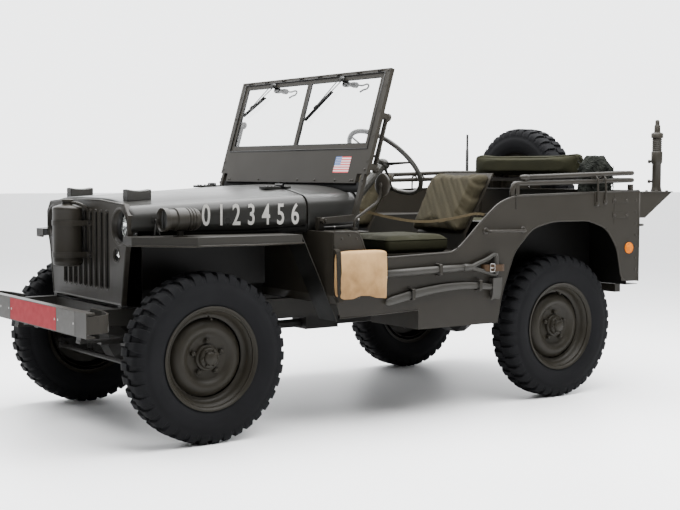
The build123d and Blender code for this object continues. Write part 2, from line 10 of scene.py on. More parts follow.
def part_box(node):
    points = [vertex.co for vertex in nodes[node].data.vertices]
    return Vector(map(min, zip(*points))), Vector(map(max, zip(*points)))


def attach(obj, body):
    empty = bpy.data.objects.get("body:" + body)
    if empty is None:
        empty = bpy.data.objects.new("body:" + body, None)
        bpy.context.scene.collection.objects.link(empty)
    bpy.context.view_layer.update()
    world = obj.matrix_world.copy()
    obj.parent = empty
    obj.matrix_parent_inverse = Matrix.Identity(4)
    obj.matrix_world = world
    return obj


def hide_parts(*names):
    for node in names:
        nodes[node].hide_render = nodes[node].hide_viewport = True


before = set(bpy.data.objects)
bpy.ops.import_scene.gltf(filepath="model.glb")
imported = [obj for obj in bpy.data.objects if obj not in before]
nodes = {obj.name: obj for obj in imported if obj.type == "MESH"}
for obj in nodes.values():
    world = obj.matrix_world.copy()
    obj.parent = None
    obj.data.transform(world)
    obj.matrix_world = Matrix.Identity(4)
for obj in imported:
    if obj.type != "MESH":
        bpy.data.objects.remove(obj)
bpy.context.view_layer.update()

# Studio
# A plain pale floor that runs out to the horizon, one broad light overhead and a softer one from the
# camera's left, seen through a long lens a little over a metre above the floor.
camera = bpy.data.objects.new("Camera", bpy.data.cameras.new("Camera"))
bpy.context.scene.collection.objects.link(camera)
bpy.context.scene.camera = camera
photo_width_px = 680
focal_px = 1261.5
camera_stands = (5.2504, -3.7332, 1.1377)
camera.data.sensor_width = 36.0
camera.data.lens = camera.data.sensor_width * focal_px / photo_width_px
camera.data.clip_end = 200.0
heading, looking_down, roll = radians(54.683), radians(3.713), radians(0.178)
turn = Matrix.Rotation(heading, 4, "Z") @ Matrix.Rotation(pi / 2 - looking_down, 4, "X")
camera.matrix_world = Matrix.Translation(camera_stands) @ turn @ Matrix.Rotation(roll, 4, "Z")


def area_light(name, place, target, width, depth, watts):
    """A rectangular soft light that faces a point."""
    lamp = bpy.data.objects.new(name, bpy.data.lights.new(name, "AREA"))
    lamp.data.shape = "RECTANGLE"
    lamp.data.size, lamp.data.size_y = width, depth
    lamp.data.energy = watts
    lamp.location = place
    lamp.rotation_euler = (Vector(target) - Vector(place)).to_track_quat("-Z", "Y").to_euler()
    bpy.context.scene.collection.objects.link(lamp)


area_light("overhead", (0.5, 0.2, 4.6), (0, 0, 0.6), 5.0, 6.5, 1350)
area_light("front_left", (5.5, -5.0, 3.4), (0, 0, 0.7), 3.5, 2.5, 60)
world = bpy.data.worlds.new("studio_air")
world.use_nodes = True
world.node_tree.nodes["Background"].inputs["Color"].default_value = (0.86, 0.87, 0.88, 1)
air = world.node_tree.nodes
toward = air.new("ShaderNodeVectorMath")
toward.operation = "DOT_PRODUCT"
toward.inputs[1].default_value = (-0.69, 0.49, 0.53)
glow = air.new("ShaderNodeMapRange")
for socket, amount in (("From Min", 0.2), ("From Max", 0.8), ("To Min", 0.12), ("To Max", 4.4)):
    glow.inputs[socket].default_value = amount
direction = air.new("ShaderNodeTexCoord").outputs["Generated"]
world.node_tree.links.new(direction, toward.inputs[0])
world.node_tree.links.new(toward.outputs["Value"], glow.inputs["Value"])
world.node_tree.links.new(glow.outputs["Result"], air["Background"].inputs["Strength"])
bpy.context.scene.world = world


class Value:
    """A socket of one finish; arithmetic on it adds Math nodes."""

    def __init__(self, finish, socket):
        self.finish = finish
        self.socket = socket

    def math(self, operation, *others, first=None):
        terms = (self, *others) if first is None else (first, self)
        return self.finish.node("Math", {"operation": operation}, dict(enumerate(terms)))

    def __add__(self, other):
        return self.math("ADD", other)

    def __mul__(self, other):
        return self.math("MULTIPLY", other)

    def __sub__(self, other):
        return self.math("SUBTRACT", other)

    def __rsub__(self, other):
        return self.math("SUBTRACT", first=other)

    def __gt__(self, other):
        return self.math("GREATER_THAN", other)

    __radd__ = __add__
    __rmul__ = __mul__


class Finish:
    """One material on a Principled shader, with constants set on the shader's own sockets."""

    def __init__(self, name, color, roughness, **constants):
        self.material = bpy.data.materials.new(name)
        self.material.use_nodes = True
        self.tree = self.material.node_tree
        self.shader = self.tree.nodes["Principled BSDF"]
        self.put(self.shader.inputs["Base Color"], color)
        self.put(self.shader.inputs["Roughness"], roughness)
        for socket, amount in constants.items():
            self.put(self.shader.inputs[socket.replace("_", " ")], amount)
        self.material.diffuse_color = (*color[:3], 1)

    def put(self, socket, value):
        if isinstance(value, Value):
            self.tree.links.new(value.socket, socket)
        elif hasattr(value, "__len__") and len(value) == 3 and socket.type == "RGBA":
            socket.default_value = (*value, 1)
        else:
            socket.default_value = value

    def node(self, kind, settings=None, sockets=None, output=0):
        """Any node: its settings first, then what its sockets hold or are linked to."""
        made = self.tree.nodes.new("ShaderNode" + kind)
        for name, setting in (settings or {}).items():
            if name == "stops":
                ramp = made.color_ramp.elements
                while len(ramp) < len(setting):
                    ramp.new(0.5)
                for element, (place, shade) in zip(ramp, setting):
                    element.position = place
                    element.color = (*shade, 1)
            else:
                setattr(made, name, setting)
        for name, value in (sockets or {}).items():
            self.put(made.inputs[name], value)
        return Value(self, made.outputs[output])

    def place(self):
        """The point on the piece, in metres in the car's own frame."""
        return self.node("TexCoord", output=3)

    def noise(self, scale, detail=3.0, stretch=(1, 1, 1), rough=0.5):
        """Cloudy noise, scale being about its lumps to the metre."""
        where = self.node("VectorMath", {"operation": "MULTIPLY"}, {0: self.place(), 1: stretch})
        return self.node("TexNoise", None, {"Vector": where, "Scale": scale, "Detail": detail, "Roughness": rough})

    def mix(self, factor, low, high):
        """Two colours mixed by a value."""
        return self.node("Mix", {"data_type": "RGBA"}, {0: factor, 6: low, 7: high}, output=2)

    def color(self, value):
        self.put(self.shader.inputs["Base Color"], value)

    def shade(self, factor, low, high):
        """A base colour that goes from one shade to another by a value."""
        self.color(self.mix(factor, low, high))

    def rough(self, value):
        self.put(self.shader.inputs["Roughness"], value)

    def bump(self, height, depth, strength=1.0):
        """Raised and sunken texture, depth in metres."""
        raised = self.node("Bump", None, {"Height": height, "Distance": depth, "Strength": strength})
        self.put(self.shader.inputs["Normal"], raised)

    def coat(self, *pieces):
        """Paint these pieces with this finish alone."""
        for piece in pieces:
            piece.data.materials.clear()
            piece.data.materials.append(self.material)


floor_finish = Finish("studio_floor", (0.80, 0.80, 0.81), 0.45, Specular_IOR_Level=0.25)
scuffs = floor_finish.noise(0.9, detail=5)
floor_finish.shade(scuffs, (0.88, 0.885, 0.89), (0.95, 0.95, 0.955))
studio_floor = bpy.data.objects.new("studio_floor", bpy.data.meshes.new("studio_floor"))
half_floor = 60.0
corners = [(-half_floor, -half_floor, 0), (half_floor, -half_floor, 0), (half_floor, half_floor, 0),
           (-half_floor, half_floor, 0)]
studio_floor.data.from_pydata(corners, [], [(0, 1, 2, 3)])
bpy.context.scene.collection.objects.link(studio_floor)
floor_finish.coat(studio_floor)

# Frame, axles and springs
# Pressed and welded steel, the frame painted in the body's olive drab and then dusted from below, the axles,
# springs and gearbox left a darker, oily shade of it. All are the frame's own pieces, which stay as they are.
olive = (0.0205, 0.0195, 0.0165)
under_paint = Finish("under_body_paint", olive, 0.62, Specular_IOR_Level=0.2)
soil = under_paint.noise(9, detail=5)
under_paint.shade(soil, (0.0060, 0.0056, 0.0047), (0.0125, 0.0116, 0.0096))
under_paint.rough(soil * 0.3 + 0.5)
under_paint.bump(under_paint.noise(220), 0.0006, 0.4)
under_paint.coat(nodes["frame_rails"])
oily_steel = Finish("oily_steel", (0.03, 0.028, 0.024), 0.55, Metallic=0.2, Specular_IOR_Level=0.25)
grime = oily_steel.noise(14, detail=5)
oily_steel.shade(grime, (0.004, 0.0038, 0.0034), (0.0145, 0.0135, 0.0115))
oily_steel.rough(grime * 0.35 + 0.4)
oily_steel.bump(oily_steel.noise(160), 0.0008, 0.5)
below = ["front_axle", "rear_axle", "knuckle_left", "knuckle_right", "tie_rod", "suspension", "drivetrain"]
oily_steel.coat(*[nodes[name] for name in below])

# Tyres
# Five bar-treaded military tyres of vulcanised rubber, each bar on one shoulder standing opposite a gap on the
# other. They are seated on the rims by their beads; the spare is the same tyre.
tread_pitches = 38
rubber = Finish("tyre_rubber", (0.008, 0.008, 0.009), 0.85, Specular_IOR_Level=0.09)
chalk = rubber.noise(11, detail=6)
rubber.shade(chalk, (0.0026, 0.0027, 0.0031), (0.0078, 0.0079, 0.0088))
rubber.rough(chalk * 0.2 + 0.7)
rubber.bump(rubber.noise(420, detail=2) * 0.5 + rubber.noise(26), 0.0012, 0.35)
carcass_profile = [
    # across, radius: bead, bulging side with two moulded rings, shoulder, tread base
    (0.0590, 0.2060), (0.0620, 0.2235), (0.0690, 0.2330), (0.0700, 0.2380), (0.0745, 0.2480), (0.0785, 0.2660),
    (0.0796, 0.2850), (0.0798, 0.3020), (0.0784, 0.3040), (0.0770, 0.3180), (0.0735, 0.3330), (0.0660, 0.3440),
    (0.0500, 0.3492), (0.0200, 0.3505),
]
bar_stations = [
    # across, top radius, foot radius, half width
    (0.0030, 0.3610, 0.3480, 0.0150), (0.0400, 0.3615, 0.3470, 0.0165), (0.0600, 0.3590, 0.3400, 0.0185),
    (0.0730, 0.3440, 0.3260, 0.0190), (0.0772, 0.3240, 0.3150, 0.0180),
]


def add_piece(name, shape, body, finish, smooth=True):
    """A named piece of the car from a bmesh, which is freed, on the body that carries it."""
    mesh = bpy.data.meshes.new(name)
    bmesh.ops.recalc_face_normals(shape, faces=shape.faces)
    shape.to_mesh(mesh)
    shape.free()
    if smooth:
        mesh.polygons.foreach_set("use_smooth", [True] * len(mesh.polygons))
    piece = bpy.data.objects.new(name, mesh)
    bpy.context.scene.collection.objects.link(piece)
    finish.coat(piece)
    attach(piece, body)
    return piece


def bevelled(piece, width, segments=2, angle=35):
    """Small rounded edges where two faces meet at more than an angle."""
    edges = piece.modifiers.new("edges", "BEVEL")
    edges.width = width
    edges.segments = segments
    edges.limit_method = "ANGLE"
    edges.angle_limit = radians(angle)
    edges.harden_normals = True
    return piece


def turned(shape, profile, steps, place=Matrix.Identity(4), closed=False):
    """Add a body of revolution about x to a bmesh, from a profile of (x, radius)."""
    rings = []
    for x, r in profile:
        if r < 1e-6:
            rings.append([shape.verts.new(place @ Vector((x, 0, 0)))])
            continue
        spots = [(x, r * cos(2 * pi * n / steps), r * sin(2 * pi * n / steps)) for n in range(steps)]
        rings.append([shape.verts.new(place @ Vector(spot)) for spot in spots])
    pairs = list(zip(rings, rings[1:])) + ([(rings[-1], rings[0])] if closed else [])
    for low, high in pairs:
        if len(low) == len(high) == 1:
            continue
        for n in range(steps):
            nxt = (n + 1) % steps
            if len(low) == 1:
                shape.faces.new((low[0], high[n], high[nxt]))
            elif len(high) == 1:
                shape.faces.new((low[n], low[nxt], high[0]))
            else:
                shape.faces.new((low[n], low[nxt], high[nxt], high[n]))


def tyre_shape(place):
    """Carcass and both rows of tread bars, about x, put in place."""
    shape = bmesh.new()
    ring = carcass_profile + [(-x, r) for x, r in reversed(carcass_profile)]
    turned(shape, ring, tread_pitches * 3, place, closed=True)
    for n in range(tread_pitches):
        for side in (1, -1):
            around = 2 * pi * (n + (0.25 if side > 0 else -0.25)) / tread_pitches
            spin = place @ Matrix.Rotation(around, 4, "X")
            loops = []
            for x, top, foot, half in bar_stations:
                spots = [(side * x, -half * 1.12, foot), (side * x, -half, top), (side * x, half, top),
                         (side * x, half * 1.12, foot)]
                loops.append([shape.verts.new(spin @ Vector(spot)) for spot in spots])
            for low, high in zip(loops, loops[1:]):
                for a, b in ((0, 1), (1, 2), (2, 3), (3, 0)):
                    shape.faces.new((low[a], low[b], high[b], high[a]))
            shape.faces.new(loops[0])
            shape.faces.new(loops[-1])
    return shape


def wheel_place(node):
    """Where a wheel sits, its outside toward local +x."""
    low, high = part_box(node)
    middle = (low + high) / 2
    quarter_turns = 1 if "spare" in node else 0 if middle.x > 0 else 2
    return Matrix.Translation(middle) @ Matrix.Rotation(quarter_turns * pi / 2, 4, "Z")


wheels = [
    # name, body
    ("front_left", "roadwheel_front_left"),
    ("front_right", "roadwheel_front_right"),
    ("rear_left", "roadwheel_rear_left"),
    ("rear_right", "roadwheel_rear_right"),
    ("spare", "chassis"),
]
for corner, body in wheels:
    node = "spare_tyre" if corner == "spare" else f"tyre_{corner}"
    tyre = add_piece(f"rubber_{corner}", tyre_shape(wheel_place(node)), body, rubber)
    bevelled(tyre, 0.0016, segments=1, angle=42)
    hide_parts(node)

# Wheels
# Two pressed steel dishes on a drop-centre rim, painted with the car, with five nuts round a bolted hub. A
# black line shows where disc and rim meet.
wheel_paint = Finish("wheel_paint", olive, 0.5, Specular_IOR_Level=0.13)
rub = wheel_paint.noise(16, detail=5)
wheel_paint.shade(rub, (0.0100, 0.0086, 0.0060), (0.0165, 0.0145, 0.0105))
wheel_paint.rough(rub * 0.2 + 0.38)
wheel_paint.bump(wheel_paint.noise(300), 0.0004, 0.3)
rim_profile = [
    # x, radius: from the inner lip round the outer lip and in over the disc to the hub
    (-0.0690, 0.2215), (-0.0600, 0.2120), (-0.0590, 0.2035), (0.0590, 0.2035), (0.0610, 0.2150), (0.0680, 0.2218),
    (0.0690, 0.2200), (0.0660, 0.2130), (0.0600, 0.2075), (0.0480, 0.2020), (0.0440, 0.1960), (0.0280, 0.1905),
    (0.0170, 0.1860), (0.0120, 0.1770), (0.0110, 0.1700),
]
disc_profile = [
    (-0.0100, 0.1890), (-0.0100, 0.1690), (0.0020, 0.1670), (0.0100, 0.1640), (0.0200, 0.1560), (0.0290, 0.1440),
    (0.0330, 0.1300), (0.0320, 0.1180), (0.0250, 0.1060), (0.0160, 0.0960), (0.0140, 0.0880), (0.0140, 0.0500),
]
hub_profile = [
    (0.0120, 0.0560), (0.0250, 0.0560), (0.0280, 0.0530), (0.0290, 0.0460), (0.0420, 0.0440), (0.0460, 0.0410),
    (0.0470, 0.0300), (0.0560, 0.0280), (0.0600, 0.0240), (0.0610, 0.0),
]
drum_profile = [(-0.0600, 0.1890), (-0.0580, 0.1850), (-0.0100, 0.1850), (-0.0100, 0.1300), (-0.0350, 0.1240)]
nut_circle, nut_r = 0.0699, 0.0110
hub_bolts, hub_bolt_circle = 6, 0.0355


def wheel_shape(place, spare):
    """Rim, dish, drum or bare centre, nuts, hub and valve."""
    shape = bmesh.new()
    turned(shape, rim_profile, 96, place)
    disc = disc_profile + [(0.0100, 0.0440), (0.0060, 0.0500), (0.0060, 0.1600)] if spare else disc_profile
    turned(shape, disc, 96, place)
    if spare:
        return shape
    turned(shape, hub_profile, 48, place)
    turned(shape, drum_profile, 48, place)
    for n in range(5):
        spin = place @ Matrix.Rotation(2 * pi * n / 5, 4, "X") @ Matrix.Translation((0, 0, nut_circle))
        turned(shape, [(0.0130, nut_r * 1.5), (0.0160, nut_r * 1.4)], 20, spin)
        nut = [(0.0160, nut_r), (0.0280, nut_r), (0.0290, nut_r * 0.8), (0.0330, 0.0055), (0.0330, 0)]
        turned(shape, nut, 6, spin)
    for n in range(hub_bolts):
        spin = place @ Matrix.Rotation(2 * pi * (n + 0.5) / hub_bolts, 4, "X")
        spin = spin @ Matrix.Translation((0, 0, hub_bolt_circle))
        turned(shape, [(0.0460, 0.0060), (0.0520, 0.0060), (0.0525, 0.0050), (0.0525, 0)], 6, spin)
    valve = place @ Matrix.Translation((0.030, 0, 0.176)) @ Matrix.Rotation(radians(20), 4, "Y")
    turned(shape, [(0, 0.0035), (0.024, 0.0035), (0.024, 0.0045), (0.032, 0.0045), (0.033, 0)], 12, valve)
    return shape


for corner, body in wheels:
    node = "spare_wheel" if corner == "spare" else f"wheel_{corner}"
    dish = add_piece(f"dish_{corner}", wheel_shape(wheel_place(node), corner == "spare"), body, wheel_paint)
    bevelled(dish, 0.0006, segments=1, angle=50)
    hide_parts(node)

# Engine, radiator and exhaust
# Cast iron and sheet steel seen only through the grille, over the wheels and from below. They stay as the frame
# has them, the engine a dark casting and the radiator core black, both made darker still as painted shade, and
# the silencer lightly rusted.
# painted shade: the casting is made nearly black for the shade under the fenders
cast_iron_and_shade = Finish("cast_iron_and_shade", (0.005, 0.005, 0.0045), 0.75, Specular_IOR_Level=0.1)
cast_iron_and_shade.bump(cast_iron_and_shade.noise(90, detail=6), 0.0012, 0.6)
cast_iron_and_shade.coat(nodes["engine_block"])
# painted shade: the core is made nearly lightless for the shade inside the grille's slots
radiator_core_and_shade = Finish("radiator_black_and_shade", (0.002, 0.002, 0.002), 0.75, Specular_IOR_Level=0.04)
fins = radiator_core_and_shade.node("TexWave", {"bands_direction": "X"}, {"Vector": radiator_core_and_shade.place(), "Scale": 60.0})
radiator_core_and_shade.bump(fins, 0.002, 0.6)
radiator_core_and_shade.coat(nodes["radiator"])
burnt = Finish("burnt_steel", (0.05, 0.04, 0.033), 0.6, Metallic=0.5)
scale_rust = burnt.noise(18, detail=6)
burnt.shade(scale_rust, (0.028, 0.025, 0.023), (0.085, 0.052, 0.034))
burnt.bump(scale_rust, 0.001, 0.4)
burnt.coat(nodes["exhaust"])

# Front bumper and plates
# A steel channel bolted to the rail ends, with swept gussets behind it, painted with the body. The red plate and
# the two olive ones are plain sheet, screwed to its face.
body_paint = Finish("body_paint", olive, 0.45, Specular_IOR_Level=0.17)
cloud = body_paint.noise(2.2, detail=6, rough=0.6)
height = body_paint.node("SeparateXYZ", None, {0: body_paint.place()}, output=2)
# darker towards the bottom as painted shade, over a cloudy tone that varies at random
body_paint.shade(cloud * 0.7 + height * 0.8 - 0.45, (0.0082, 0.0068, 0.0048), (0.0225, 0.0200, 0.0158))
body_paint.rough(body_paint.noise(7, detail=5) * 0.22 + 0.32)
body_paint.coat(nodes["front_bumper"])
bumper_face_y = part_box("front_bumper")[0].y


def brush_marks(finish):
    """The fine and the broad unevenness of paint put on by brush."""
    finish.bump(finish.noise(260, detail=2) * 0.3 + finish.noise(5, detail=3), 0.0015, 0.22)


brush_marks(body_paint)


def block(shape, low, high, place=Matrix.Identity(4)):
    """Add a box between two corners to a bmesh."""
    spots = [(x, y, z) for x in (low[0], high[0]) for y in (low[1], high[1]) for z in (low[2], high[2])]
    verts = [shape.verts.new(place @ Vector(spot)) for spot in spots]
    for ring in ((0, 1, 3, 2), (4, 6, 7, 5), (0, 4, 5, 1), (2, 3, 7, 6), (0, 2, 6, 4), (1, 5, 7, 3)):
        shape.faces.new([verts[n] for n in ring])


def at(x, y, z):
    """A point given in millimetres, y counted from the front axle, in the frame's metres."""
    return Vector((x, y - 1145.0, z)) * 0.001


def facing(point, direction):
    """A place whose own x points in a direction."""
    return Matrix.Translation(point) @ Vector(direction).to_track_quat("X", "Z").to_matrix().to_4x4()


def fasteners(name, spots, body, finish, r=0.006, tall=0.004, sides=6):
    """Bolt or rivet heads: each a point and the way it faces; six sides for a bolt, more for a rivet."""
    shape = bmesh.new()
    profile = [(-0.0006, r), (tall * 0.6, r), (tall, r * 0.6), (tall, 0)]
    for point, direction in spots:
        turned(shape, profile, sides, facing(point, direction))
    return add_piece(name, shape, body, finish, smooth=sides > 6)


bare_steel = Finish("bare_steel", (0.30, 0.29, 0.28), 0.34, Metallic=0.9)
red_paint = Finish("red_plate_paint", (0.20, 0.01, 0.014), 0.6, Specular_IOR_Level=0.12)
dull = red_paint.noise(30, detail=4)
red_paint.shade(dull, (0.26, 0.005, 0.013), (0.19, 0.003, 0.008))
red_paint.rough(dull * 0.2 + 0.45)
mark_paint = Finish("mark_paint", (0.042, 0.040, 0.036), 0.5, Specular_IOR_Level=0.2)
mark_paint.rough(mark_paint.noise(40) * 0.2 + 0.4)
plate_low, plate_high, screw_z, screw_inset = 0.488, 0.583, 0.535, 0.014
plates = [
    # name, x from, x to, finish
    ("bumper_mark_right", -0.272, -0.146, mark_paint),
    ("number_plate", -0.142, 0.370, red_paint),
    ("bumper_mark_left", 0.376, 0.560, mark_paint),
]
screws = []
for name, x_low, x_high, finish in plates:
    shape = bmesh.new()
    block(shape, (x_low, bumper_face_y - 0.0006, plate_low), (x_high, bumper_face_y + 0.0004, plate_high))
    bevelled(add_piece(name, shape, "chassis", finish, smooth=False), 0.0004)
    for x in (x_low + screw_inset, x_high - screw_inset):
        screws.append((Vector((x, bumper_face_y - 0.0004, screw_z)), (0, -1, 0)))
fasteners("plate_screws", screws, "chassis", bare_steel, r=0.005, tall=0.0006, sides=12)
heads = [(at(side * x, -554, z), (0, 1, 0)) for side in (1, -1) for x in (330, 365) for z in (515, 560)]
fasteners("bumper_bolts", heads, "chassis", oily_steel, r=0.011, tall=0.010)

# Grille
# One flat steel stamping with nine upright slots, their edges rolled inward for stiffness, and round openings
# for the lamps. It stands on the frame in front of the radiator and is painted with the body.
body_paint.coat(nodes["grille"])
bevelled(nodes["grille"], 0.0012)
grille_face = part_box("grille")[0].y
slots, slot_pitch, slot_low, slot_high, slot_half = 9, 0.056, 0.632, 0.970, 0.015
headlamp_x, headlamp_z, headlamp_hole = 0.352, 0.908, 0.071
marker_x, marker_z, marker_hole = 0.318, 0.786, 0.028
lip_steps = 40
slot_edge = [
    # out over the sheet, back from its face: the raised lip and the rolled inner edge
    (0.0075, 0.0004), (0.0060, -0.0014), (0.0030, -0.0024), (0.0008, -0.0014), (-0.0004, 0.0014), (-0.0008, 0.0050),
    (-0.0020, 0.0052),
]
lamp_edge = [
    (0.0120, 0.0004), (0.0100, -0.0018), (0.0050, -0.0040), (0.0010, -0.0030), (-0.0010, 0.0010), (-0.0016, 0.0200),
    (-0.0036, 0.0205),
]


def skin(shape, loops, around=True, along=False, capped=True):
    """Faces between each loop of points and the next; each loop may close, and so may the row of loops."""
    rows = [[shape.verts.new(point) for point in loop] for loop in loops]
    for low, high in list(zip(rows, rows[1:])) + ([(rows[-1], rows[0])] if along else []):
        for n in range(len(low) if around else len(low) - 1):
            nxt = (n + 1) % len(low)
            shape.faces.new((low[n], low[nxt], high[nxt], high[n]))
    if capped and around and not along:
        shape.faces.new(rows[0])
        shape.faces.new(rows[-1])


def lip(shape, x, z_low, z_high, half, profile):
    """The rolled edge round an opening with round ends."""
    loops = []
    for out, back in profile:
        loop = []
        for n in range(lip_steps):
            around = 2 * pi * (n + 0.5) / lip_steps
            middle = z_high - half if sin(around) > 0 else z_low + half
            loop.append((x + (half + out) * cos(around), grille_face + back, middle + (half + out) * sin(around)))
        loops.append(loop)
    skin(shape, loops, capped=False)


lamp_holes = [(headlamp_x, headlamp_z, headlamp_hole, lamp_edge), (marker_x, marker_z, marker_hole, slot_edge)]
shape = bmesh.new()
for n in range(slots):
    lip(shape, slot_pitch * (n - (slots - 1) / 2), slot_low, slot_high, slot_half, slot_edge)
for side in (1, -1):
    for x, z, r, profile in lamp_holes:
        lip(shape, side * x, z - r, z + r, r, profile)
add_piece("grille_rolled_edges", shape, "chassis", body_paint)
right_rim = [(-150, 1019), (-392, 1003), (-432, 955), (-432, 880), (-404, 800), (-364, 575)]
rim = [(-x, z) for x, z in right_rim[::-1]] + right_rim
shape = bmesh.new()
loops = []
for out, back in ((-0.006, -0.0004), (-0.002, -0.0026), (0.0015, -0.0020), (0.0025, 0.0010), (0.0022, 0.0220)):
    loops.append([(x * 0.001 * (1 + out / 0.40), grille_face + back, 0.8 + (z * 0.001 - 0.8) * (1 + out / 0.22))
                  for x, z in rim])
skin(shape, loops, capped=False)
edge = add_piece("grille_rim", shape, "chassis", body_paint, smooth=False)
edge.modifiers.new("sheet", "SOLIDIFY").thickness = 0.002

# Lamps
# Two sealed headlamps set back behind the grille, each a bright bowl under a domed glass in a plated ring, and a
# small marker lamp under each one in its own pressed housing.
lamp_black = Finish("lamp_recess", (0.012, 0.012, 0.011), 0.5)
lamp_black.bump(lamp_black.noise(200), 0.0004, 0.3)
plated = Finish("plated_ring", (0.80, 0.80, 0.78), 0.10, Metallic=1.0)
plated.bump(plated.noise(60), 0.0003, 0.2)
lamp_glass = Finish("lamp_glass", (0.95, 0.97, 0.97), 0.03, Transmission_Weight=1.0, IOR=1.5)
ribs = lamp_glass.node("TexWave", {"bands_direction": "X"}, {"Vector": lamp_glass.place(), "Scale": 40.0}, output=1)
lamp_glass.bump(ribs, 0.0008, 0.5)


def turned_piece(name, profile, steps, place, body, finish):
    """A piece that is one body of revolution."""
    shape = bmesh.new()
    turned(shape, profile, steps, place)
    return add_piece(name, shape, body, finish)


lens_r, headlamp_y, marker_y = 0.066, -1.363, -1.385
for name, side in (("left", 1), ("right", -1)):
    place = facing(Vector((side * headlamp_x, headlamp_y, headlamp_z)), (0, -1, 0))
    shape = bmesh.new()
    turned(shape, [(0.040, 0.0735), (0.036, 0.0725), (0.004, lens_r + 0.009), (0.002, lens_r + 0.006)], 56, place)
    turned(shape, [(-0.020, 0), (-0.020, 0.05), (-0.006, lens_r + 0.006), (0.001, lens_r + 0.006)], 56, place)
    add_piece(f"headlamp_bucket_{name}", shape, "chassis", lamp_black)
    ring = [(0.001, lens_r + 0.007), (0.006, lens_r + 0.006), (0.008, lens_r + 0.002), (0.006, lens_r - 0.003)]
    turned_piece(f"headlamp_ring_{name}", ring, 56, place, "chassis", plated)
    bowl = [(-0.018, 0.0), (-0.017, 0.018), (-0.012, 0.038), (-0.004, 0.055), (0.004, lens_r - 0.002)]
    turned_piece(f"headlamp_bowl_{name}", bowl, 56, place, "chassis", plated)
    dome = [(0.004, lens_r - 0.002), (0.011, 0.052), (0.016, 0.034), (0.0185, 0.016), (0.019, 0), (0.016, 0),
            (0.0155, 0.016), (0.013, 0.034), (0.008, 0.052), (0.002, lens_r - 0.002)]
    glass = turned_piece(f"headlamp_glass_{name}", dome, 56, place, "chassis", lamp_glass)
for name, side in (("left", 1), ("right", -1)):
    place = facing(Vector((side * marker_x, marker_y, marker_z)), (0, -1, 0))
    cup = [(-0.008, 0), (-0.008, 0.030), (0.012, 0.029), (0.014, 0.026), (0.008, 0.024), (0.006, 0.0)]
    housing = turned_piece(f"marker_housing_{name}", cup, 32, place, "chassis", lamp_black)
    shape = bmesh.new()
    turned(shape, [(0.006, 0.021), (0.012, 0.018), (0.014, 0.008), (0.0145, 0)], 28, place)
    block(shape, (0.010, -0.020, -0.003), (0.020, 0.020, 0.003), place)
    add_piece(f"marker_glass_{name}", shape, "chassis", plated)
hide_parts("headlamps")

# Surge tank
# A welded sheet can that takes the water the radiator boils over, hung before the grille in two strap brackets
# whose arms bolt to the grille. A short pipe runs from its neck back to the grille.
tank_x, tank_y, strap_r = -36, -332, 67
tank_place = facing(at(tank_x, tank_y, 0), (0, 0, 1))


def headings(path):
    """The way a row of points runs at each of them."""
    last = len(path) - 1
    return [(path[min(n + 1, last)] - path[max(n - 1, 0)]).normalized() for n in range(last + 1)]


def tube(shape, path, radius, steps=10):
    """A round bar along a row of points; the radius may be one for each point."""
    path = [Vector(point) for point in path]
    side = (path[1] - path[0]).orthogonal().normalized()
    loops = []
    for n, (point, ahead) in enumerate(zip(path, headings(path))):
        side = (side - ahead * side.dot(ahead)).normalized()
        up = ahead.cross(side)
        r = radius[n] if hasattr(radius, "__len__") else radius
        turns = [2 * pi * k / steps for k in range(steps)]
        loops.append([point + (side * cos(a) + up * sin(a)) * r for a in turns])
    skin(shape, loops)


def band(shape, path, across, width, thick):
    """A flat strap along a row of points, its width lying in one direction."""
    path = [Vector(point) for point in path]
    half = Vector(across).normalized() * (width / 2)
    loops = []
    for point, ahead in zip(path, headings(path)):
        out = ahead.cross(half).normalized() * (thick / 2)
        loops.append([point + half + out, point - half + out, point - half - out, point + half - out])
    skin(shape, loops)


def eased(points, reach, steps=5):
    """A row of points with each corner rounded off over a reach."""
    points = [Vector(point) for point in points]
    path = [points[0]]
    for before, corner, after in zip(points, points[1:], points[2:]):
        near = min(reach, (corner - before).length / 2, (after - corner).length / 2)
        start = corner + (before - corner).normalized() * near
        end = corner + (after - corner).normalized() * near
        for n in range(steps + 1):
            t = n / steps
            path.append(start * (1 - t) ** 2 + corner * (2 * t * (1 - t)) + end * t ** 2)
    path.append(points[-1])
    return path


can_profile = [
    # height, radius: domed foot, seam, side, seam, shoulder, neck and its cap
    (0.722, 0), (0.722, 0.050), (0.725, 0.058), (0.731, 0.0635), (0.738, 0.065), (0.742, 0.0662), (0.746, 0.065),
    (0.972, 0.065), (0.976, 0.0662), (0.980, 0.065), (0.985, 0.061), (0.988, 0.052), (0.992, 0.040), (0.996, 0.024),
    (1.006, 0.023), (1.008, 0.027), (1.017, 0.027), (1.019, 0.024), (1.019, 0),
]
shape = bmesh.new()
turned(shape, can_profile, 72, tank_place)
overflow = [at(tank_x, tank_y, 1000), at(-4, -318, 1003), at(24, -300, 1000), at(30, -262, 975)]
tube(shape, eased(overflow, 0.02), 0.007)
can = add_piece("surge_can", shape, "chassis", body_paint)
bevelled(can, 0.0006, segments=1, angle=50)
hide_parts("surge_tank")
shape = bmesh.new()
heads = []
for z in (773, 913):
    turns = [-pi * n / 24 for n in range(25)]
    arc = [at(tank_x + strap_r * cos(a), tank_y + strap_r * sin(a), z) for a in turns]
    right_foot = [at(-103, -270, z), at(-110, -264, z), at(-140, -264, z)]
    path = [at(68, -264, z), at(38, -264, z), at(31, -270, z)] + arc + right_foot
    band(shape, path, (0, 0, 1), 0.024, 0.003)
    heads += [(at(x, -266, z), (0, -1, 0)) for x in (56, -128)]
straps = add_piece("surge_can_straps", shape, "chassis", body_paint, smooth=False)
bevelled(straps, 0.0006, segments=1)
fasteners("strap_bolts", heads, "chassis", oily_steel, r=0.007, tall=0.006)
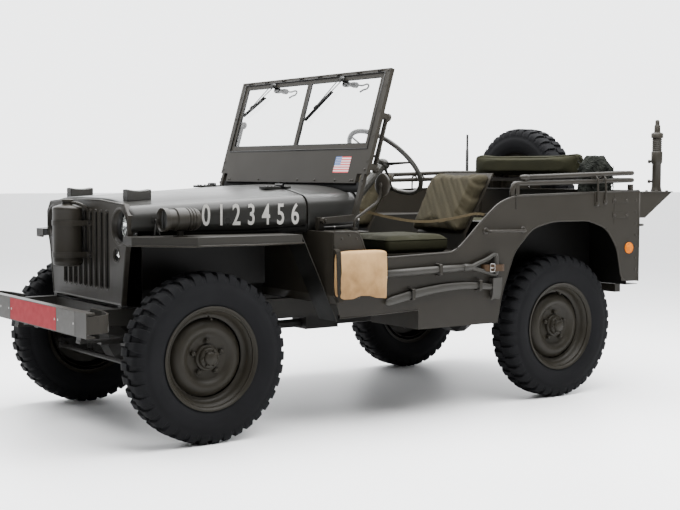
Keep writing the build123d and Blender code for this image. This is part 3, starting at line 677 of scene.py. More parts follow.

# Fenders and what stands on them
# Flat-topped pressings with a turned-down lip that is a little wavy from use, darkened by painted shade on the side
# of the wheel. The left one carries a covered driving lamp under its visor, and each has a sprung catch for the hood.


def facing_wheel(finish, axle_y):
    """1 on the faces of a mudguard that look at the wheel on an axle, whose y is in metres in the frame."""
    x, y = (finish.node("SeparateXYZ", None, {0: finish.place()}, output=n) for n in range(2))
    z = finish.node("SeparateXYZ", None, {0: finish.place()}, output=2)
    normal = finish.node("TexCoord", output=1)
    right, back, up = (finish.node("SeparateXYZ", None, {0: normal}, output=n) for n in range(3))
    looks = right * (x.math("SIGN") * 0.62 - x) + back * (axle_y - y) + up * (0.37 - z)
    return looks > 0.02


def paint_shaded_by_wheel(name, roughness, axle_y, painted_shade):
    """Body paint with painted shade: darkened nearly to black where it looks at a wheel."""
    finish = Finish(name, olive, roughness, Specular_IOR_Level=0.16)
    cloud = finish.noise(2.2, detail=6, rough=0.6)
    unshaded = finish.mix(cloud, (0.0125, 0.0116, 0.0098), (0.0195, 0.0182, 0.0154))
    # painted shade: the faces that look at the wheel take the near-black colour
    finish.shade(facing_wheel(finish, axle_y), unshaded, painted_shade)
    brush_marks(finish)
    return finish


# painted shade on the fenders' faces toward the front wheels
fender_paint = paint_shaded_by_wheel("fender_paint", 0.45, -1.145, (0.0022, 0.0021, 0.0018))
fender_paint.rough(fender_paint.noise(7, detail=5) * 0.22 + 0.32)
fender_paint.coat(nodes["fenders"])
bevelled(nodes["fenders"], 0.0014)
shape = bmesh.new()
for side in (1, -1):
    corners_mm = [(433, -286), (512, -286), (700, -77), (700, 180), (700, 436)]
    path = eased([at(side * x, y, 835) for x, y in corners_mm], 0.03)
    path = [point + Vector((0, 0, 0.0016 * sin(point.y * 31) * sin(point.y * 9))) for point in path]
    tube(shape, path, 0.0042, 8)
    tube(shape, [at(side * 699, 436, 835), at(side * 699, 445, 836)], 0.0042, 8)
add_piece("fender_rolled_edges", shape, "chassis", body_paint)
lamp_place = facing(at(560, -80, 942), (0, -1, 0))
lamp_profile = [
    # forward, radius: rounded back, three moulded rings, cup, waist and the visor's lip
    (-0.0880, 0.0000), (-0.0880, 0.0180), (-0.0850, 0.0270), (-0.0780, 0.0370), (-0.0680, 0.0440), (-0.0560, 0.0480),
    (-0.0500, 0.0490), (-0.0480, 0.0455), (-0.0440, 0.0455), (-0.0420, 0.0490), (-0.0360, 0.0490), (-0.0340, 0.0455),
    (-0.0300, 0.0455), (-0.0280, 0.0490), (-0.0220, 0.0490), (-0.0200, 0.0455), (-0.0160, 0.0455), (-0.0140, 0.0490),
    (0.0330, 0.0490), (0.0360, 0.0430), (0.0660, 0.0425), (0.0690, 0.0490), (0.0900, 0.0500), (0.0920, 0.0490),
    (0.0890, 0.0470), (0.0760, 0.0440), (0.0740, 0.0000),
]
shape = bmesh.new()
turned(shape, lamp_profile, 56, lamp_place)
tube(shape, [at(560, -85, 870), at(560, -85, 900)], 0.014, 16)
block(shape, at(538, -108, 870.5), at(582, -62, 875))
driving_lamp = add_piece("driving_lamp", shape, "chassis", body_paint)
bevelled(driving_lamp, 0.0008, segments=2, angle=50)
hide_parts("fender_lamp")
shape = bmesh.new()
turned(shape, [(0.0740, 0.0440), (0.0770, 0.0300), (0.0780, 0.0000)], 40, lamp_place)
block(shape, (0.0775, -0.012, -0.034), (0.0840, -0.004, 0.034), lamp_place)
cover = add_piece("driving_lamp_cover", shape, "chassis", lamp_black)
bevelled(cover, 0.001)
shape = bmesh.new()
for side in (1, -1):
    for shift in (-13, 13):
        tube(shape, [at(side * 476, -150 + shift, 871), at(side * 462, -146 + shift * 0.3, 921)], 0.0035, 8)
    coil = []
    for n in range(61):
        a = 2 * pi * n / 8
        up = 885 + n * 0.55
        coil.append(at(side * (471 - (up - 871) * 0.28 + 6 * cos(a)), -146 + 6 * sin(a), up))
    tube(shape, coil, 0.0013, 6)
    hook = [at(side * x, -146, z) for x, z in ((462, 921), (458, 938), (448, 940))]
    tube(shape, eased(hook, 0.006), 0.003, 8)
    block(shape, at(side * 446 - 4, -160, 928), at(side * 446 + 6, -132, 950))
catches = add_piece("hood_catches", shape, "chassis", oily_steel)
bevelled(catches, 0.0006, segments=1, angle=60)

# Hood
# One sheet pressed to a crowned top and straight sides, widening to the rear, its front edge rolled over the
# grille and its rear edge hinged on the cowl. Its sides lie on felt strips, black as painted shade and standing up
# to close the gap over the fenders; two wooden blocks near its front take the folded screen, and its painted numbers
# are made up.
hood_paint = Finish("hood_paint", olive, 0.34, Specular_IOR_Level=0.17)
cloud = hood_paint.noise(1.6, detail=6, rough=0.6)
hood_paint.shade(cloud, (0.0150, 0.0148, 0.0135), (0.0215, 0.0212, 0.0195))
hood_paint.rough(hood_paint.noise(6, detail=5) * 0.2 + 0.22)
hood_paint.bump(hood_paint.noise(4.5, detail=2) + hood_paint.noise(300, detail=2) * 0.02, 0.004, 0.30)
shoulder_r, crown_rise = 62, 30
hood_front, hood_length, widening, climb = -250, 810, 112, 44


def crown(half, low, top, inset=0.0):
    """Across the hood from right to left: straight side, round shoulder, gently crowned top; in millimetres."""
    r, side, crest = shoulder_r - inset, half - inset, top - inset
    bend = crest - crown_rise - r
    left = [(side, low), (side, (low + bend) / 2)]
    left += [(side - r + r * cos(a), bend + r * sin(a)) for a in [pi / 2 * n / 12 for n in range(13)]]
    left += [((side - r) * (1 - n / 14), crest - crown_rise * (1 - n / 14) ** 4) for n in range(1, 14)]
    return [(-x, z) for x, z in left] + [(0, crest)] + left[::-1]


def hood_row(y):
    """Half width, lower edge and top of the hood at a distance along the car."""
    share = (y - hood_front) / hood_length
    return 436 + widening * share, max(890, 861 + climb * share), 1028 + climb * share


def sheet_over(name, rows, body, finish, thick):
    """A pressed sheet through rows of (y, half width, lower edge, top, inset)."""
    shape = bmesh.new()
    skin(shape, [[at(x, y, z) for x, z in crown(half, low, top, inset)] for y, half, low, top, inset in rows],
         around=False)
    piece = add_piece(name, shape, body, finish)
    wall = piece.modifiers.new("sheet", "SOLIDIFY")
    wall.thickness = thick
    wall.offset = -1
    return piece


rows = [(y, *hood_row(hood_front), inset) for y, inset in ((-244, 24), (-249, 14), (-250, 6), (-249.5, 2))]
rows.append((-247, *hood_row(-247), 0))
rows += [(y, *hood_row(y), 0) for y in range(-230, 540, 22)]
rows += [(552, *hood_row(552), 0), (558, *hood_row(558), 0.4), (560, *hood_row(560), 2)]
hood_sheet = sheet_over("hood_sheet", rows, "hood_lid", hood_paint, 0.0022)
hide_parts("hood")


def hinge_barrel(shape, side, x_from, x_to, r):
    """A leaf rolled round the hood's hinge pin, between two distances from the car's middle line."""
    pin = Matrix.Translation(at(0, 563, 1081)) @ Matrix.Scale(side, 4, (1, 0, 0))
    turned(shape, [(x_from, r), (x_to, r)], 20, pin)


shape = bmesh.new()
for side in (1, -1):
    block(shape, at(side * 288, 470, 1064), at(side * 342, 556, 1075.5))
    hinge_barrel(shape, side, 0.300, 0.330, 0.0074)
leaves = add_piece("hood_hinge_leaves", shape, "hood_lid", hood_paint)
bevelled(leaves, 0.0012, angle=50)
lid_bolts = [(at(side * x, y, 1075.4), (0, 0, 1)) for side in (1, -1) for x in (302, 328) for y in (492, 530)]
fasteners("hood_hinge_bolts", lid_bolts, "hood_lid", hood_paint, r=0.006, tall=0.004)


def hood_top(x, y):
    """Height of the hood's outside at a point."""
    half, low, top = hood_row(y)
    return top - crown_rise * min(1, abs(x) / (half - shoulder_r)) ** 4


wood_paint = Finish("painted_wood", olive, 0.55)
grain = wood_paint.noise(60, detail=5, stretch=(1, 0.12, 1))
wood_paint.shade(grain, (0.012, 0.0113, 0.0095), (0.021, 0.0198, 0.0165))
wood_paint.bump(grain, 0.0015, 0.4)
inner, middle, outer, sunk = 274, 300, 326, 1.5
shape = bmesh.new()
for side in (1, -1):
    loops = []
    for n in range(25):
        y = -211 + 113 * n / 24
        top = 1066 - 6 * sin(pi * n / 24)
        low_in, low_out = hood_top(inner, y) - sunk, hood_top(outer, y) - sunk
        section = ((inner, low_in), (inner, top), (middle, top + 1.5), (outer, top), (outer, low_out))
        loops.append([at(side * x, y, z) for x, z in section])
    skin(shape, loops)
rests = add_piece("screen_rest_blocks", shape, "hood_lid", wood_paint, smooth=False)
bevelled(rests, 0.006, segments=3, angle=45)
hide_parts("hood_blocks")

shape = bmesh.new()
for side in (1, -1):
    strip = []
    for n in range(27):
        y = -160 + 738 * n / 26
        half, edge = hood_row(y)[:2]
        section = ((-9, 871), (-9, edge + 3), (-7, edge + 4.5), (-5, edge + 3), (-5, 871))
        strip.append([at(side * (half + inward), y, z) for inward, z in section])
    skin(shape, strip)
# painted shade: black strips standing up in the gap between the hood's sides and the fenders
felt = Finish("black_felt_as_shade", (0.006, 0.006, 0.006), 0.95, Specular_IOR_Level=0.1)
felt.shade(felt.noise(200), (0.004, 0.004, 0.004), (0.010, 0.010, 0.009))
felt.bump(felt.noise(600), 0.0006, 0.5)
add_piece("hood_side_felts", shape, "chassis", felt)

white_paint = Finish("white_marking", (0.62, 0.61, 0.57), 0.5)
flaking = white_paint.noise(110, detail=6)
white_paint.shade(flaking, (0.46, 0.45, 0.42), (0.30, 0.29, 0.27))


def painted_text(name, text, tall, squeeze, spacing, place, body):
    """Plain painted characters on a panel, from local x and y of a place."""
    curve = bpy.data.curves.new(name, "FONT")
    curve.body = text
    curve.size = tall / 0.69
    curve.space_character = spacing
    curve.offset = 0.0016
    curve.extrude = 0.0001
    letters = bpy.data.objects.new(name + "_line", curve)
    bpy.context.scene.collection.objects.link(letters)
    mesh = bpy.data.meshes.new_from_object(letters.evaluated_get(bpy.context.evaluated_depsgraph_get()))
    bpy.data.objects.remove(letters)
    mesh.transform(place @ Matrix.Scale(squeeze, 4, (1, 0, 0)))
    shape = bmesh.new()
    shape.from_mesh(mesh)
    bpy.data.meshes.remove(mesh)
    return add_piece(name, shape, body, white_paint, smooth=False)


along = Vector((widening, hood_length, 0)).normalized()
outward = Vector((hood_length, -widening, 0)).normalized()
panel = Matrix((along, (0, 0, 1), outward)).transposed().to_4x4()
number_start, number_foot = 62, 912
panel = Matrix.Translation(at(hood_row(number_start)[0] + 0.6, number_start, number_foot)) @ panel
painted_text("hood_number", "0123456", tall=0.090, squeeze=0.62, spacing=1.75, place=panel, body="hood_lid")

# Cowl
# The fixed sheet behind the hood, in the same form, closed toward the engine by the top of the firewall. It has
# the hood's hinge on it, and a half-round moulding bolted round its rear edge and forward along its foot.
cowl_rows = [(566, 550, 880.4, 1073, 2), (568, 550, 880.4, 1073, 0.3)]
for y in (*range(580, 830, 28), 832):
    share = (y - 566) / 266
    cowl_rows.append((y, 550 + 25 * share, 880.4 + 1.6 * share, 1073 + 10 * share, 0))
cowl_sheet = sheet_over("cowl_sheet", cowl_rows, "chassis", hood_paint, 0.0022)
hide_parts("cowl")
shape = bmesh.new()
skin(shape, [[at(x, y, z) for x, z in crown(547, 881, 1070)] for y in (570, 572.5)])
add_piece("firewall_top", shape, "chassis", body_paint, smooth=False)
shape = bmesh.new()
for side in (1, -1):
    block(shape, at(side * 270, 567, 1068), at(side * 360, 598, 1076.2))
    hinge_barrel(shape, side, 0.284, 0.2985, 0.0070)
    hinge_barrel(shape, side, 0.3315, 0.346, 0.0070)
hinge = add_piece("cowl_hinge_leaves", shape, "chassis", hood_paint)
bevelled(hinge, 0.0012, angle=50)
ring = eased([at(x, 826, z) for x, z in crown(575, 935, 1082)], 0.004, 1)
foot = [at(574, 822, 915), at(570, 802, 899), at(562, 730, 893), at(556, 600, 891)]
path = [Vector((-p.x, p.y, p.z)) for p in foot[::-1]] + ring + foot
shape = bmesh.new()
tube(shape, eased(path, 0.02, 3), 0.0072, 10)
add_piece("cowl_moulding", shape, "chassis", hood_paint)
spots = [(at(side * 581, 822, 925), (side, 0, 0)) for side in (1, -1)]
spots += [(at(side * 564.07, y, 893), (side, 0, 0)) for side in (1, -1) for y in (620, 700, 775)]
fasteners("moulding_bolts", spots, "chassis", bare_steel, r=0.0055, tall=0.004)
spots = [(at(side * 578, 822, z), (side, 0, 0)) for side in (1, -1) for z in (965, 1000)]
fasteners("moulding_rivets", spots, "chassis", hood_paint, r=0.0045, tall=0.003, sides=12)

# Body tub
# Welded sheet steel: floor, firewall, sides cut down low for the doors and open over the rear wheels, boxed wheel
# houses and a flat rear panel. Every free edge is rolled over a wire, and the whole tub is painted olive drab.
tub = ["body_floor", "body_sides", "wheel_houses", "rear_panel", "firewall", "dash_panel", "spare_carrier"]
body_paint.coat(*[nodes[name] for name in tub])
for name in tub:
    bevelled(nodes[name], 0.0012, segments=1)
# painted shade on the wheel houses where they face the rear wheels
paint_shaded_by_wheel("wheel_house_paint", 0.5, 0.887, (0.0020, 0.0019, 0.0016)).coat(nodes["wheel_houses"])
edge_x, side_x = 748, 750
door_line = [(572, 880), (705, 880), (735, 800), (760, 770), (849, 757), (1247, 769), (1300, 800), (1352, 846),
             (1440, 925), (1540, 1000), (1640, 1030), (2522, 1051)]
arch_line = [(1531, 420), (1560, 560), (1640, 760), (1760, 870), (1900, 902), (2150, 902), (2280, 860), (2360, 760),
             (2400, 581), (2522, 581)]
sill_line = [(604, 500), (1042, 512)]
shape = bmesh.new()
for side in (1, -1):
    for line, reach, r in ((door_line, 0.045, 0.0052), (arch_line, 0.045, 0.0034), (sill_line, 0, 0.0040)):
        path = [at(side * edge_x, y, z) for y, z in line]
        tube(shape, eased(path, reach) if reach else path, r, 8)
tube(shape, eased([at(x, 2526.5, 1049) for x in (-edge_x, edge_x)], 0.01), 0.0052, 8)
for x in (-748.5, 748.5):
    tube(shape, [at(x, 2526.5, 577), at(x, 2526.5, 1049)], 0.0045, 8)
add_piece("tub_rolled_edges", shape, "chassis", body_paint)
spots = [(at(side * side_x, y, z), (side, 0, 0)) for side in (1, -1) for y in (2337, 2428) for z in (925, 1003)]
spots += [(at(side * side_x, y, 592), (side, 0, 0)) for side in (1, -1) for y in (640, 700, 1480)]
fasteners("tub_bolts", spots, "chassis", body_paint, r=0.011, tall=0.006, sides=4)
spots = [(at(side * side_x, y, z), (side, 0, 0)) for side in (1, -1) for y, z in ((610, 850), (690, 850), (650, 865))]
spots += [(at(side * side_x, 2500, z), (side, 0, 0)) for side in (1, -1) for z in range(640, 1020, 60)]
spots += [(at(x, 2528, 1020), (0, 1, 0)) for x in range(-690, 700, 92)]
fasteners("tub_rivets", spots, "chassis", body_paint, r=0.006, tall=0.003, sides=12)


def side_block(shape, side, xs, ys, zs):
    """Add a box on one side of the car from its inner and outer x, its y and its z, in millimetres."""
    x_low, x_high = sorted(side * x for x in xs)
    block(shape, at(x_low, ys[0], zs[0]), at(x_high, ys[1], zs[1]))


shape = bmesh.new()
for side in (1, -1):
    for z in (925, 1003):
        side_block(shape, side, (750.1, 752), (2322, 2444), (z - 15, z + 15))
    side_block(shape, side, (749, 751.5), (2334, 2340), (880, 1040))
doublers = add_piece("side_doublers", shape, "chassis", body_paint, smooth=False)
bevelled(doublers, 0.0008)

# Reflectors
# A round amber glass in a rim of the same plastic, stuck to the side at each rear corner. Small facets are moulded
# into its back, and painted glints make each facet lighter in its middle.
amber = Finish("amber_reflector", (0.55, 0.135, 0.0), 0.45, Specular_IOR_Level=0.05)
facets = amber.node("TexVoronoi", None, {"Vector": amber.place(), "Scale": 190.0})
# painted glints: each facet's colour is lighter at its middle
amber.shade(facets, (0.62, 0.17, 0.002), (0.36, 0.080, 0.001))
amber.bump(facets, 0.001, 0.6)
for name, side in (("left", 1), ("right", -1)):
    place = facing(at(side * side_x, 2449, 753), (side, 0, 0))
    rim = [(0, 0.0290), (0.006, 0.0290), (0.008, 0.0270), (0.006, 0.0250), (0.004, 0.0240)]
    turned_piece(f"reflector_rim_{name}", rim, 40, place, "chassis", amber)
    dome = [(0.005, 0.0252), (0.009, 0.0220), (0.0115, 0.0140), (0.0120, 0.0)]
    turned_piece(f"reflector_{name}", dome, 40, place, "chassis", amber)

# Hand grips
# Steel rod bent to a flat loop and welded to the body through a round foot at each end: one low on each side
# behind the door, and one at each rear corner, painted with the body.
shape = bmesh.new()
for side in (1, -1):
    for y in (1449, 1691):
        place = facing(at(side * side_x, y, 865), (side, 0, 0))
        turned(shape, [(0, 0.017), (0.003, 0.017), (0.006, 0.013), (0.008, 0.008)], 24, place)
    grip = ((750, 1449, 865), (779, 1452, 865), (779, 1688, 861), (750, 1691, 865))
    tube(shape, eased([at(side * x, y, z) for x, y, z in grip], 0.018, 6), 0.0068, 12)
    loop = [at(side * x, y, 867) for x, y in ((566, 2528), (566, 2631), (694, 2631), (694, 2528))]
    tube(shape, eased(loop, 0.022, 6), 0.0065, 12)
    for x in (566, 694):
        turned(shape, [(0, 0.015), (0.004, 0.014), (0.006, 0.008)], 20, facing(at(side * x, 2528, 867), (0, 1, 0)))
grips = add_piece("hand_grips", shape, "chassis", body_paint)
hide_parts("grab_handles")

# Screen
# A flat steel frame over an apron, hinged on the cowl and held up by a spring rod behind each post. An inner
# frame carries two panes in rubber beads; hand wipers hang over them, and a paper flag is stuck to the apron.
screen_names = ["screen_frame", "screen_inner_frame"]
body_paint.coat(*[nodes[name] for name in screen_names])
for name in screen_names:
    bevelled(nodes[name], 0.0016)
lean = radians(16.3)
pane_xs, pane_foot, pane_top = (14.3, 589.7), 26, 344
screen_across = Vector((1, 0, 0))
screen_rise = Vector((0, sin(lean), cos(lean)))
screen_out = Vector((0, -cos(lean), sin(lean)))
screen_turn = Matrix((screen_across, screen_rise, screen_out)).transposed().to_4x4()
screen_foot = at(0, 845, 1251)


def on_screen(x, h, out=0.0):
    """A point by millimetres across, up the screen's slope from the foot of the panes, and out from its face."""
    return screen_foot + (screen_across * x + screen_rise * h + screen_out * out) * 0.001


def screen_bar(shape, x0, x1, h0, h1, out0, out1):
    """Add a box that lies in the slope of the screen."""
    low = Vector((x0, h0, out0)) * 0.001
    high = Vector((x1, h1, out1)) * 0.001
    block(shape, low, high, Matrix.Translation(screen_foot) @ screen_turn)


def seal_round(shape, x_low, x_high, h_low, h_high, out, r):
    """Add a rubber bead round a rectangle in the slope of the screen."""
    ring = [on_screen(x, h, out) for x, h in ((x_low, h_low), (x_high, h_low), (x_high, h_high), (x_low, h_high))]
    for a, b in zip(ring, ring[1:] + ring[:1]):
        tube(shape, [a, b], r, 8)


clear_glass = Finish("window_glass", (0.97, 0.985, 0.98), 0.02, Transmission_Weight=1.0, IOR=1.45)
smear = clear_glass.noise(9, detail=5)
clear_glass.rough(smear * 0.03)
for name, side in (("left", 1), ("right", -1)):
    shape = bmesh.new()
    x_low, x_high = sorted(side * x for x in pane_xs)
    screen_bar(shape, x_low, x_high, pane_foot + 0.3, pane_top - 0.3, -11.0, -7.0)
    pane = add_piece(f"pane_{name}", shape, "screen", clear_glass, smooth=False)
    bevelled(pane, 0.0005, segments=1)
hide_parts("screen_glass")
seal = Finish("window_seal", (0.006, 0.006, 0.006), 0.7)
seal.bump(seal.noise(300), 0.0003, 0.3)
shape = bmesh.new()
for side in (1, -1):
    seal_round(shape, *sorted(side * x for x in pane_xs), pane_foot, pane_top, -5.8, 0.0030)
seal_round(shape, -615.5, 615.5, -0.8, 366.5, 0.4, 0.0024)
add_piece("pane_seals", shape, "screen", seal)

shape = bmesh.new()
for x in (-640, 640):
    for h in (-170, -60, 60, 180, 300):
        screen_bar(shape, x - 6, x + 6, h - 6, h + 6, 0.2, 1.6)
for x in range(-574, 575, 164):
    screen_bar(shape, x - 15, x + 15, 373, 379, 0.2, 7)
    for foot in (x - 15, x + 9):
        screen_bar(shape, foot, foot + 6, 368, 382, 0.2, 3)
top_loops = add_piece("screen_top_loops", shape, "screen", body_paint, smooth=False)
bevelled(top_loops, 0.0008, segments=1)
spots = [(on_screen(x, -152), screen_out) for x in (-560, -545, -260, 100, 250, 420, 545, 560)]
spots += [(on_screen(x, h), screen_out) for x in (-636, 636) for h in (-150, -100, 374)]
fasteners("screen_rivets", spots, "screen", body_paint, r=0.0055, tall=0.003, sides=12)
shape = bmesh.new()
for side in (1, -1):
    for h in (-82, 163):
        inward = screen_turn @ Matrix.Rotation(-pi / 2, 4, "Y")
        knob_place = Matrix.Translation(on_screen(side * 637, h, -58)) @ inward
        knob = [(-0.009, 0), (-0.009, 0.016), (-0.004, 0.020), (0.004, 0.020), (0.012, 0.013), (0.014, 0)]
        turned(shape, knob, 24, knob_place)
    for x in (629, 645):
        coil = []
        for n in range(151):
            spin = 2 * pi * n / 10
            across = screen_across * (7.0 * cos(spin)) + screen_out * (7.0 * sin(spin))
            coil.append(on_screen(side * x, -70 + n * 0.55, -50) + across * 0.001)
        tube(shape, coil, 0.0013, 5)
add_piece("screen_springs", shape, "screen", body_paint)

blade_rubber = Finish("wiper_rubber", (0.006, 0.006, 0.0065), 0.6)
blade_rubber.bump(blade_rubber.noise(200), 0.0003, 0.3)
wipers = [
    # name, pivot x and h, blade's upper end x and h, lower end x and h
    ("left", 290, 349, 227, 290, 49, 149),
    ("right", -322, 349, -383, 289, -560, 192),
]
for name, pivot_x, pivot_h, up_x, up_h, down_x, down_h in wipers:
    middle = on_screen(up_x * 0.45 + down_x * 0.55, up_h * 0.45 + down_h * 0.55, 13)
    pivot = on_screen(pivot_x, pivot_h, 12)
    aside = (pivot - middle).normalized().cross(screen_out) * 0.011
    shape = bmesh.new()
    boss = [(-0.004, 0.013), (0.006, 0.013), (0.009, 0.010), (0.018, 0.009), (0.019, 0)]
    turned(shape, boss, 20, facing(on_screen(pivot_x, pivot_h, 0), screen_out))
    for sign in (1, -1):
        tube(shape, [pivot + aside * sign * 1.1, middle + aside * sign * 0.25], 0.0026, 8)
    band(shape, [on_screen(up_x, up_h, 10), on_screen(down_x, down_h, 10)], screen_out, 0.009, 0.004)
    block(shape, (-0.012, -0.006, -0.004), (0.012, 0.006, 0.006), facing(middle, middle - pivot))
    wiper_arm = add_piece(f"wiper_arm_{name}", shape, "screen", lamp_black, smooth=False)
    bevelled(wiper_arm, 0.0006, segments=1)
    shape = bmesh.new()
    band(shape, [on_screen(up_x, up_h, 2), on_screen(down_x, down_h, 2)], screen_out, 0.012, 0.0022)
    add_piece(f"wiper_blade_{name}", shape, "screen", blade_rubber, smooth=False)
    shape = bmesh.new()
    for reach, r in ((0, 0.015), (38, 0.011), (76, 0.014)):
        spot = on_screen(pivot_x + reach, pivot_h - 16 - reach * 0.12, -24)
        drum = [(-0.014, 0), (-0.014, r), (0.012, r), (0.015, r * 0.6), (0.015, 0)]
        turned(shape, drum, 20, facing(spot, (1, 0, -0.1)))
    hook = [(76, -20), (130, -32), (172, -24), (190, -34), (178, -50), (150, -52), (128, -62)]
    path = [on_screen(pivot_x + x, pivot_h + h, -26) for x, h in hook]
    tube(shape, eased(path, 0.02, 4), 0.0042, 8)
    wiper_handle = add_piece(f"wiper_handle_{name}", shape, "screen", oily_steel)
    bevelled(wiper_handle, 0.0006, segments=1, angle=50)

apron_rubber = Finish("apron_rubber", (0.006, 0.006, 0.006), 0.8, Specular_IOR_Level=0.15)
apron_rubber.bump(apron_rubber.noise(120), 0.0004, 0.4)
shape = bmesh.new()
strip = []
for n in range(61):
    x = -616 + 1232 * n / 60
    lowest = ((1081.5 - crown_rise * min(1, abs(x) / 510) ** 4 - 1251) / cos(lean)) + 2
    section = ((-158, -9), (lowest, -9), (lowest - 0.8, -11), (lowest, -13), (-158, -13))
    strip.append([on_screen(x, h, out) for h, out in section])
skin(shape, strip)
add_piece("apron_seal", shape, "screen", apron_rubber)

flag_blue = Finish("flag_blue", (0.045, 0.12, 0.33), 0.45)
flag_red = Finish("flag_red", (0.55, 0.045, 0.05), 0.45)
flag_white = Finish("flag_white", (0.62, 0.60, 0.60), 0.45)
for dye in (flag_blue, flag_red, flag_white):
    dye.rough(dye.noise(60) * 0.2 + 0.35)
    dye.bump(dye.noise(150), 0.0003, 0.2)
flag_x, flag_h, flag_wide, flag_tall, stripes = 388, -116, 122, 78, 13
stripe = flag_tall / stripes
canton_foot = flag_h + stripe * 6
for finish, name, lowest in ((flag_red, "red", 0), (flag_white, "white", 1)):
    shape = bmesh.new()
    for n in range(lowest, stripes, 2):
        foot = flag_h + stripe * n
        screen_bar(shape, flag_x, flag_x + flag_wide, foot, foot + stripe, 0.1, 0.5)
    add_piece(f"flag_stripes_{name}", shape, "screen", finish, smooth=False)
shape = bmesh.new()
screen_bar(shape, flag_x, flag_x + flag_wide * 0.4, canton_foot, flag_h + flag_tall, 0.5, 0.8)
add_piece("flag_canton", shape, "screen", flag_blue, smooth=False)
shape = bmesh.new()
for row in range(5):
    for n in range(6):
        spot = on_screen(flag_x + 6 + n * 7.4, canton_foot + 6 + row * 7.6, 0.8)
        turned(shape, [(0.0, 0.0017), (0.0003, 0.0017), (0.0004, 0)], 10, facing(spot, screen_out))
add_piece("flag_stars", shape, "screen", flag_white, smooth=False)

# Steering column and wheel
# A painted steel tube bolted to the toe board carries the shaft, and a three-spoked wheel whose rim is moulded
# over wire and painted olive like the rest.
steer_paint = Finish("steering_paint", olive, 0.4, Specular_IOR_Level=0.3)
worn = steer_paint.noise(40, detail=5)
steer_paint.shade(worn, (0.013, 0.0125, 0.0105), (0.026, 0.0245, 0.020))
steer_paint.rough(worn * 0.3 + 0.28)
steer_paint.bump(steer_paint.noise(180), 0.0004, 0.3)
steer_paint.coat(nodes["steering_column"])
bevelled(nodes["steering_column"], 0.0008, segments=1, angle=50)
steer_place = facing(at(350, 1150, 1190), (0, sin(radians(45)), cos(radians(45))))
shape = bmesh.new()
grip_r, rim_r = 0.0115, 0.210
rim_section = [(grip_r * sin(a), rim_r + grip_r * cos(a)) for a in [2 * pi * n / 14 for n in range(14)]]
turned(shape, rim_section, 96, steer_place, closed=True)
hub = [(-0.080, 0.008), (-0.030, 0.008), (-0.028, 0.022), (-0.018, 0.030), (-0.004, 0.031), (0.002, 0.026),
       (0.003, 0.018), (0.009, 0.017), (0.011, 0.012), (0.011, 0)]
turned(shape, hub, 40, steer_place)
spokes = 3
for n in range(spokes):
    spin = steer_place @ Matrix.Rotation(2 * pi * n / spokes + pi / 2, 4, "X")
    for aside in (-0.0075, 0, 0.0075):
        path = [spin @ Vector((x, aside * (1 - k * 0.35), z)) for k, (x, z) in
                enumerate(((-0.010, 0.026), (-0.006, 0.10), (-0.001, 0.203)))]
        tube(shape, eased(path, 0.03, 3), 0.0031, 8)
wheel = add_piece("steering_rim", shape, "steering_wheel", steer_paint)
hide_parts("steering_wheel")

# Frames of the front places and the bench, and fuel tank
# Bent steel tube and pressed pans, welded together, painted olive and stood on the floor. The welded tank lies
# under the pan behind the steering wheel, painted as the underside is.
body_paint.coat(nodes["seat_frames"])
bevelled(nodes["seat_frames"], 0.0015)
under_paint.coat(nodes["fuel_tank"])
bevelled(nodes["fuel_tank"], 0.012, segments=3)

# Cushions and backs
# Horsehair pads sewn into olive canvas. The front backs are slip covers gathered along their top edge, so that
# the cloth hangs in folds; cushions and the rear back are smooth, with a corded seam round the face.
canvas = Finish("olive_canvas", (0.015, 0.0145, 0.007), 0.9, Specular_IOR_Level=0.1)
faded = canvas.noise(7, detail=6)
threads = canvas.node("TexWave", {"bands_direction": "X"}, {"Vector": canvas.place(), "Scale": 210.0}, output=1)
picks = canvas.node("TexWave", {"bands_direction": "DIAGONAL"}, {"Vector": canvas.place(), "Scale": 160.0}, output=1)
canvas.shade(faded, (0.0092, 0.0094, 0.0042), (0.0185, 0.0180, 0.0090))
canvas.rough(faded * 0.15 + 0.78)
canvas.bump(threads * 0.5 + picks * 0.5, 0.0006, 0.5)
cover_canvas = Finish("cover_canvas", (0.024, 0.0205, 0.012), 0.9, Specular_IOR_Level=0.1)
faded = cover_canvas.noise(8, detail=6)
threads = cover_canvas.node("TexWave", {"bands_direction": "X"}, {"Vector": cover_canvas.place(), "Scale": 210.0},
                            output=1)
cover_canvas.shade(faded, (0.0165, 0.0145, 0.0080), (0.0330, 0.0280, 0.0165))
cover_canvas.rough(faded * 0.15 + 0.8)
cover_canvas.bump(threads, 0.0006, 0.5)
padding = []


def pad(name, corners, finish, body, rise, rounding, voxel=0.0085):
    """A stuffed piece from the eight corners of its room: remeshed, then blown up by the cloth solver."""
    shape = bmesh.new()
    middle = sum(corners, Vector()) / len(corners)
    verts = [shape.verts.new(middle + (corner - middle) * 0.965) for corner in corners]
    for ring in ((0, 1, 3, 2), (4, 6, 7, 5), (0, 4, 5, 1), (2, 3, 7, 6), (0, 2, 6, 4), (1, 5, 7, 3)):
        shape.faces.new([verts[n] for n in ring])
    bmesh.ops.bevel(shape, geom=list(shape.edges), offset=rounding, segments=4, affect="EDGES", profile=0.5)
    piece = add_piece(name, shape, body, finish)
    piece.modifiers.new("even_mesh", "REMESH").voxel_size = voxel
    flatten(piece)
    padding.append((piece, rise, middle))
    return piece


def flatten(piece):
    """Apply all of a piece's modifiers to its mesh."""
    bpy.context.view_layer.update()
    shaped = bpy.data.meshes.new_from_object(piece.evaluated_get(bpy.context.evaluated_depsgraph_get()))
    piece.modifiers.clear()
    finish = piece.data.materials[0]
    piece.data = shaped
    shaped.materials.clear()
    shaped.materials.append(finish)
    shaped.polygons.foreach_set("use_smooth", [True] * len(shaped.polygons))


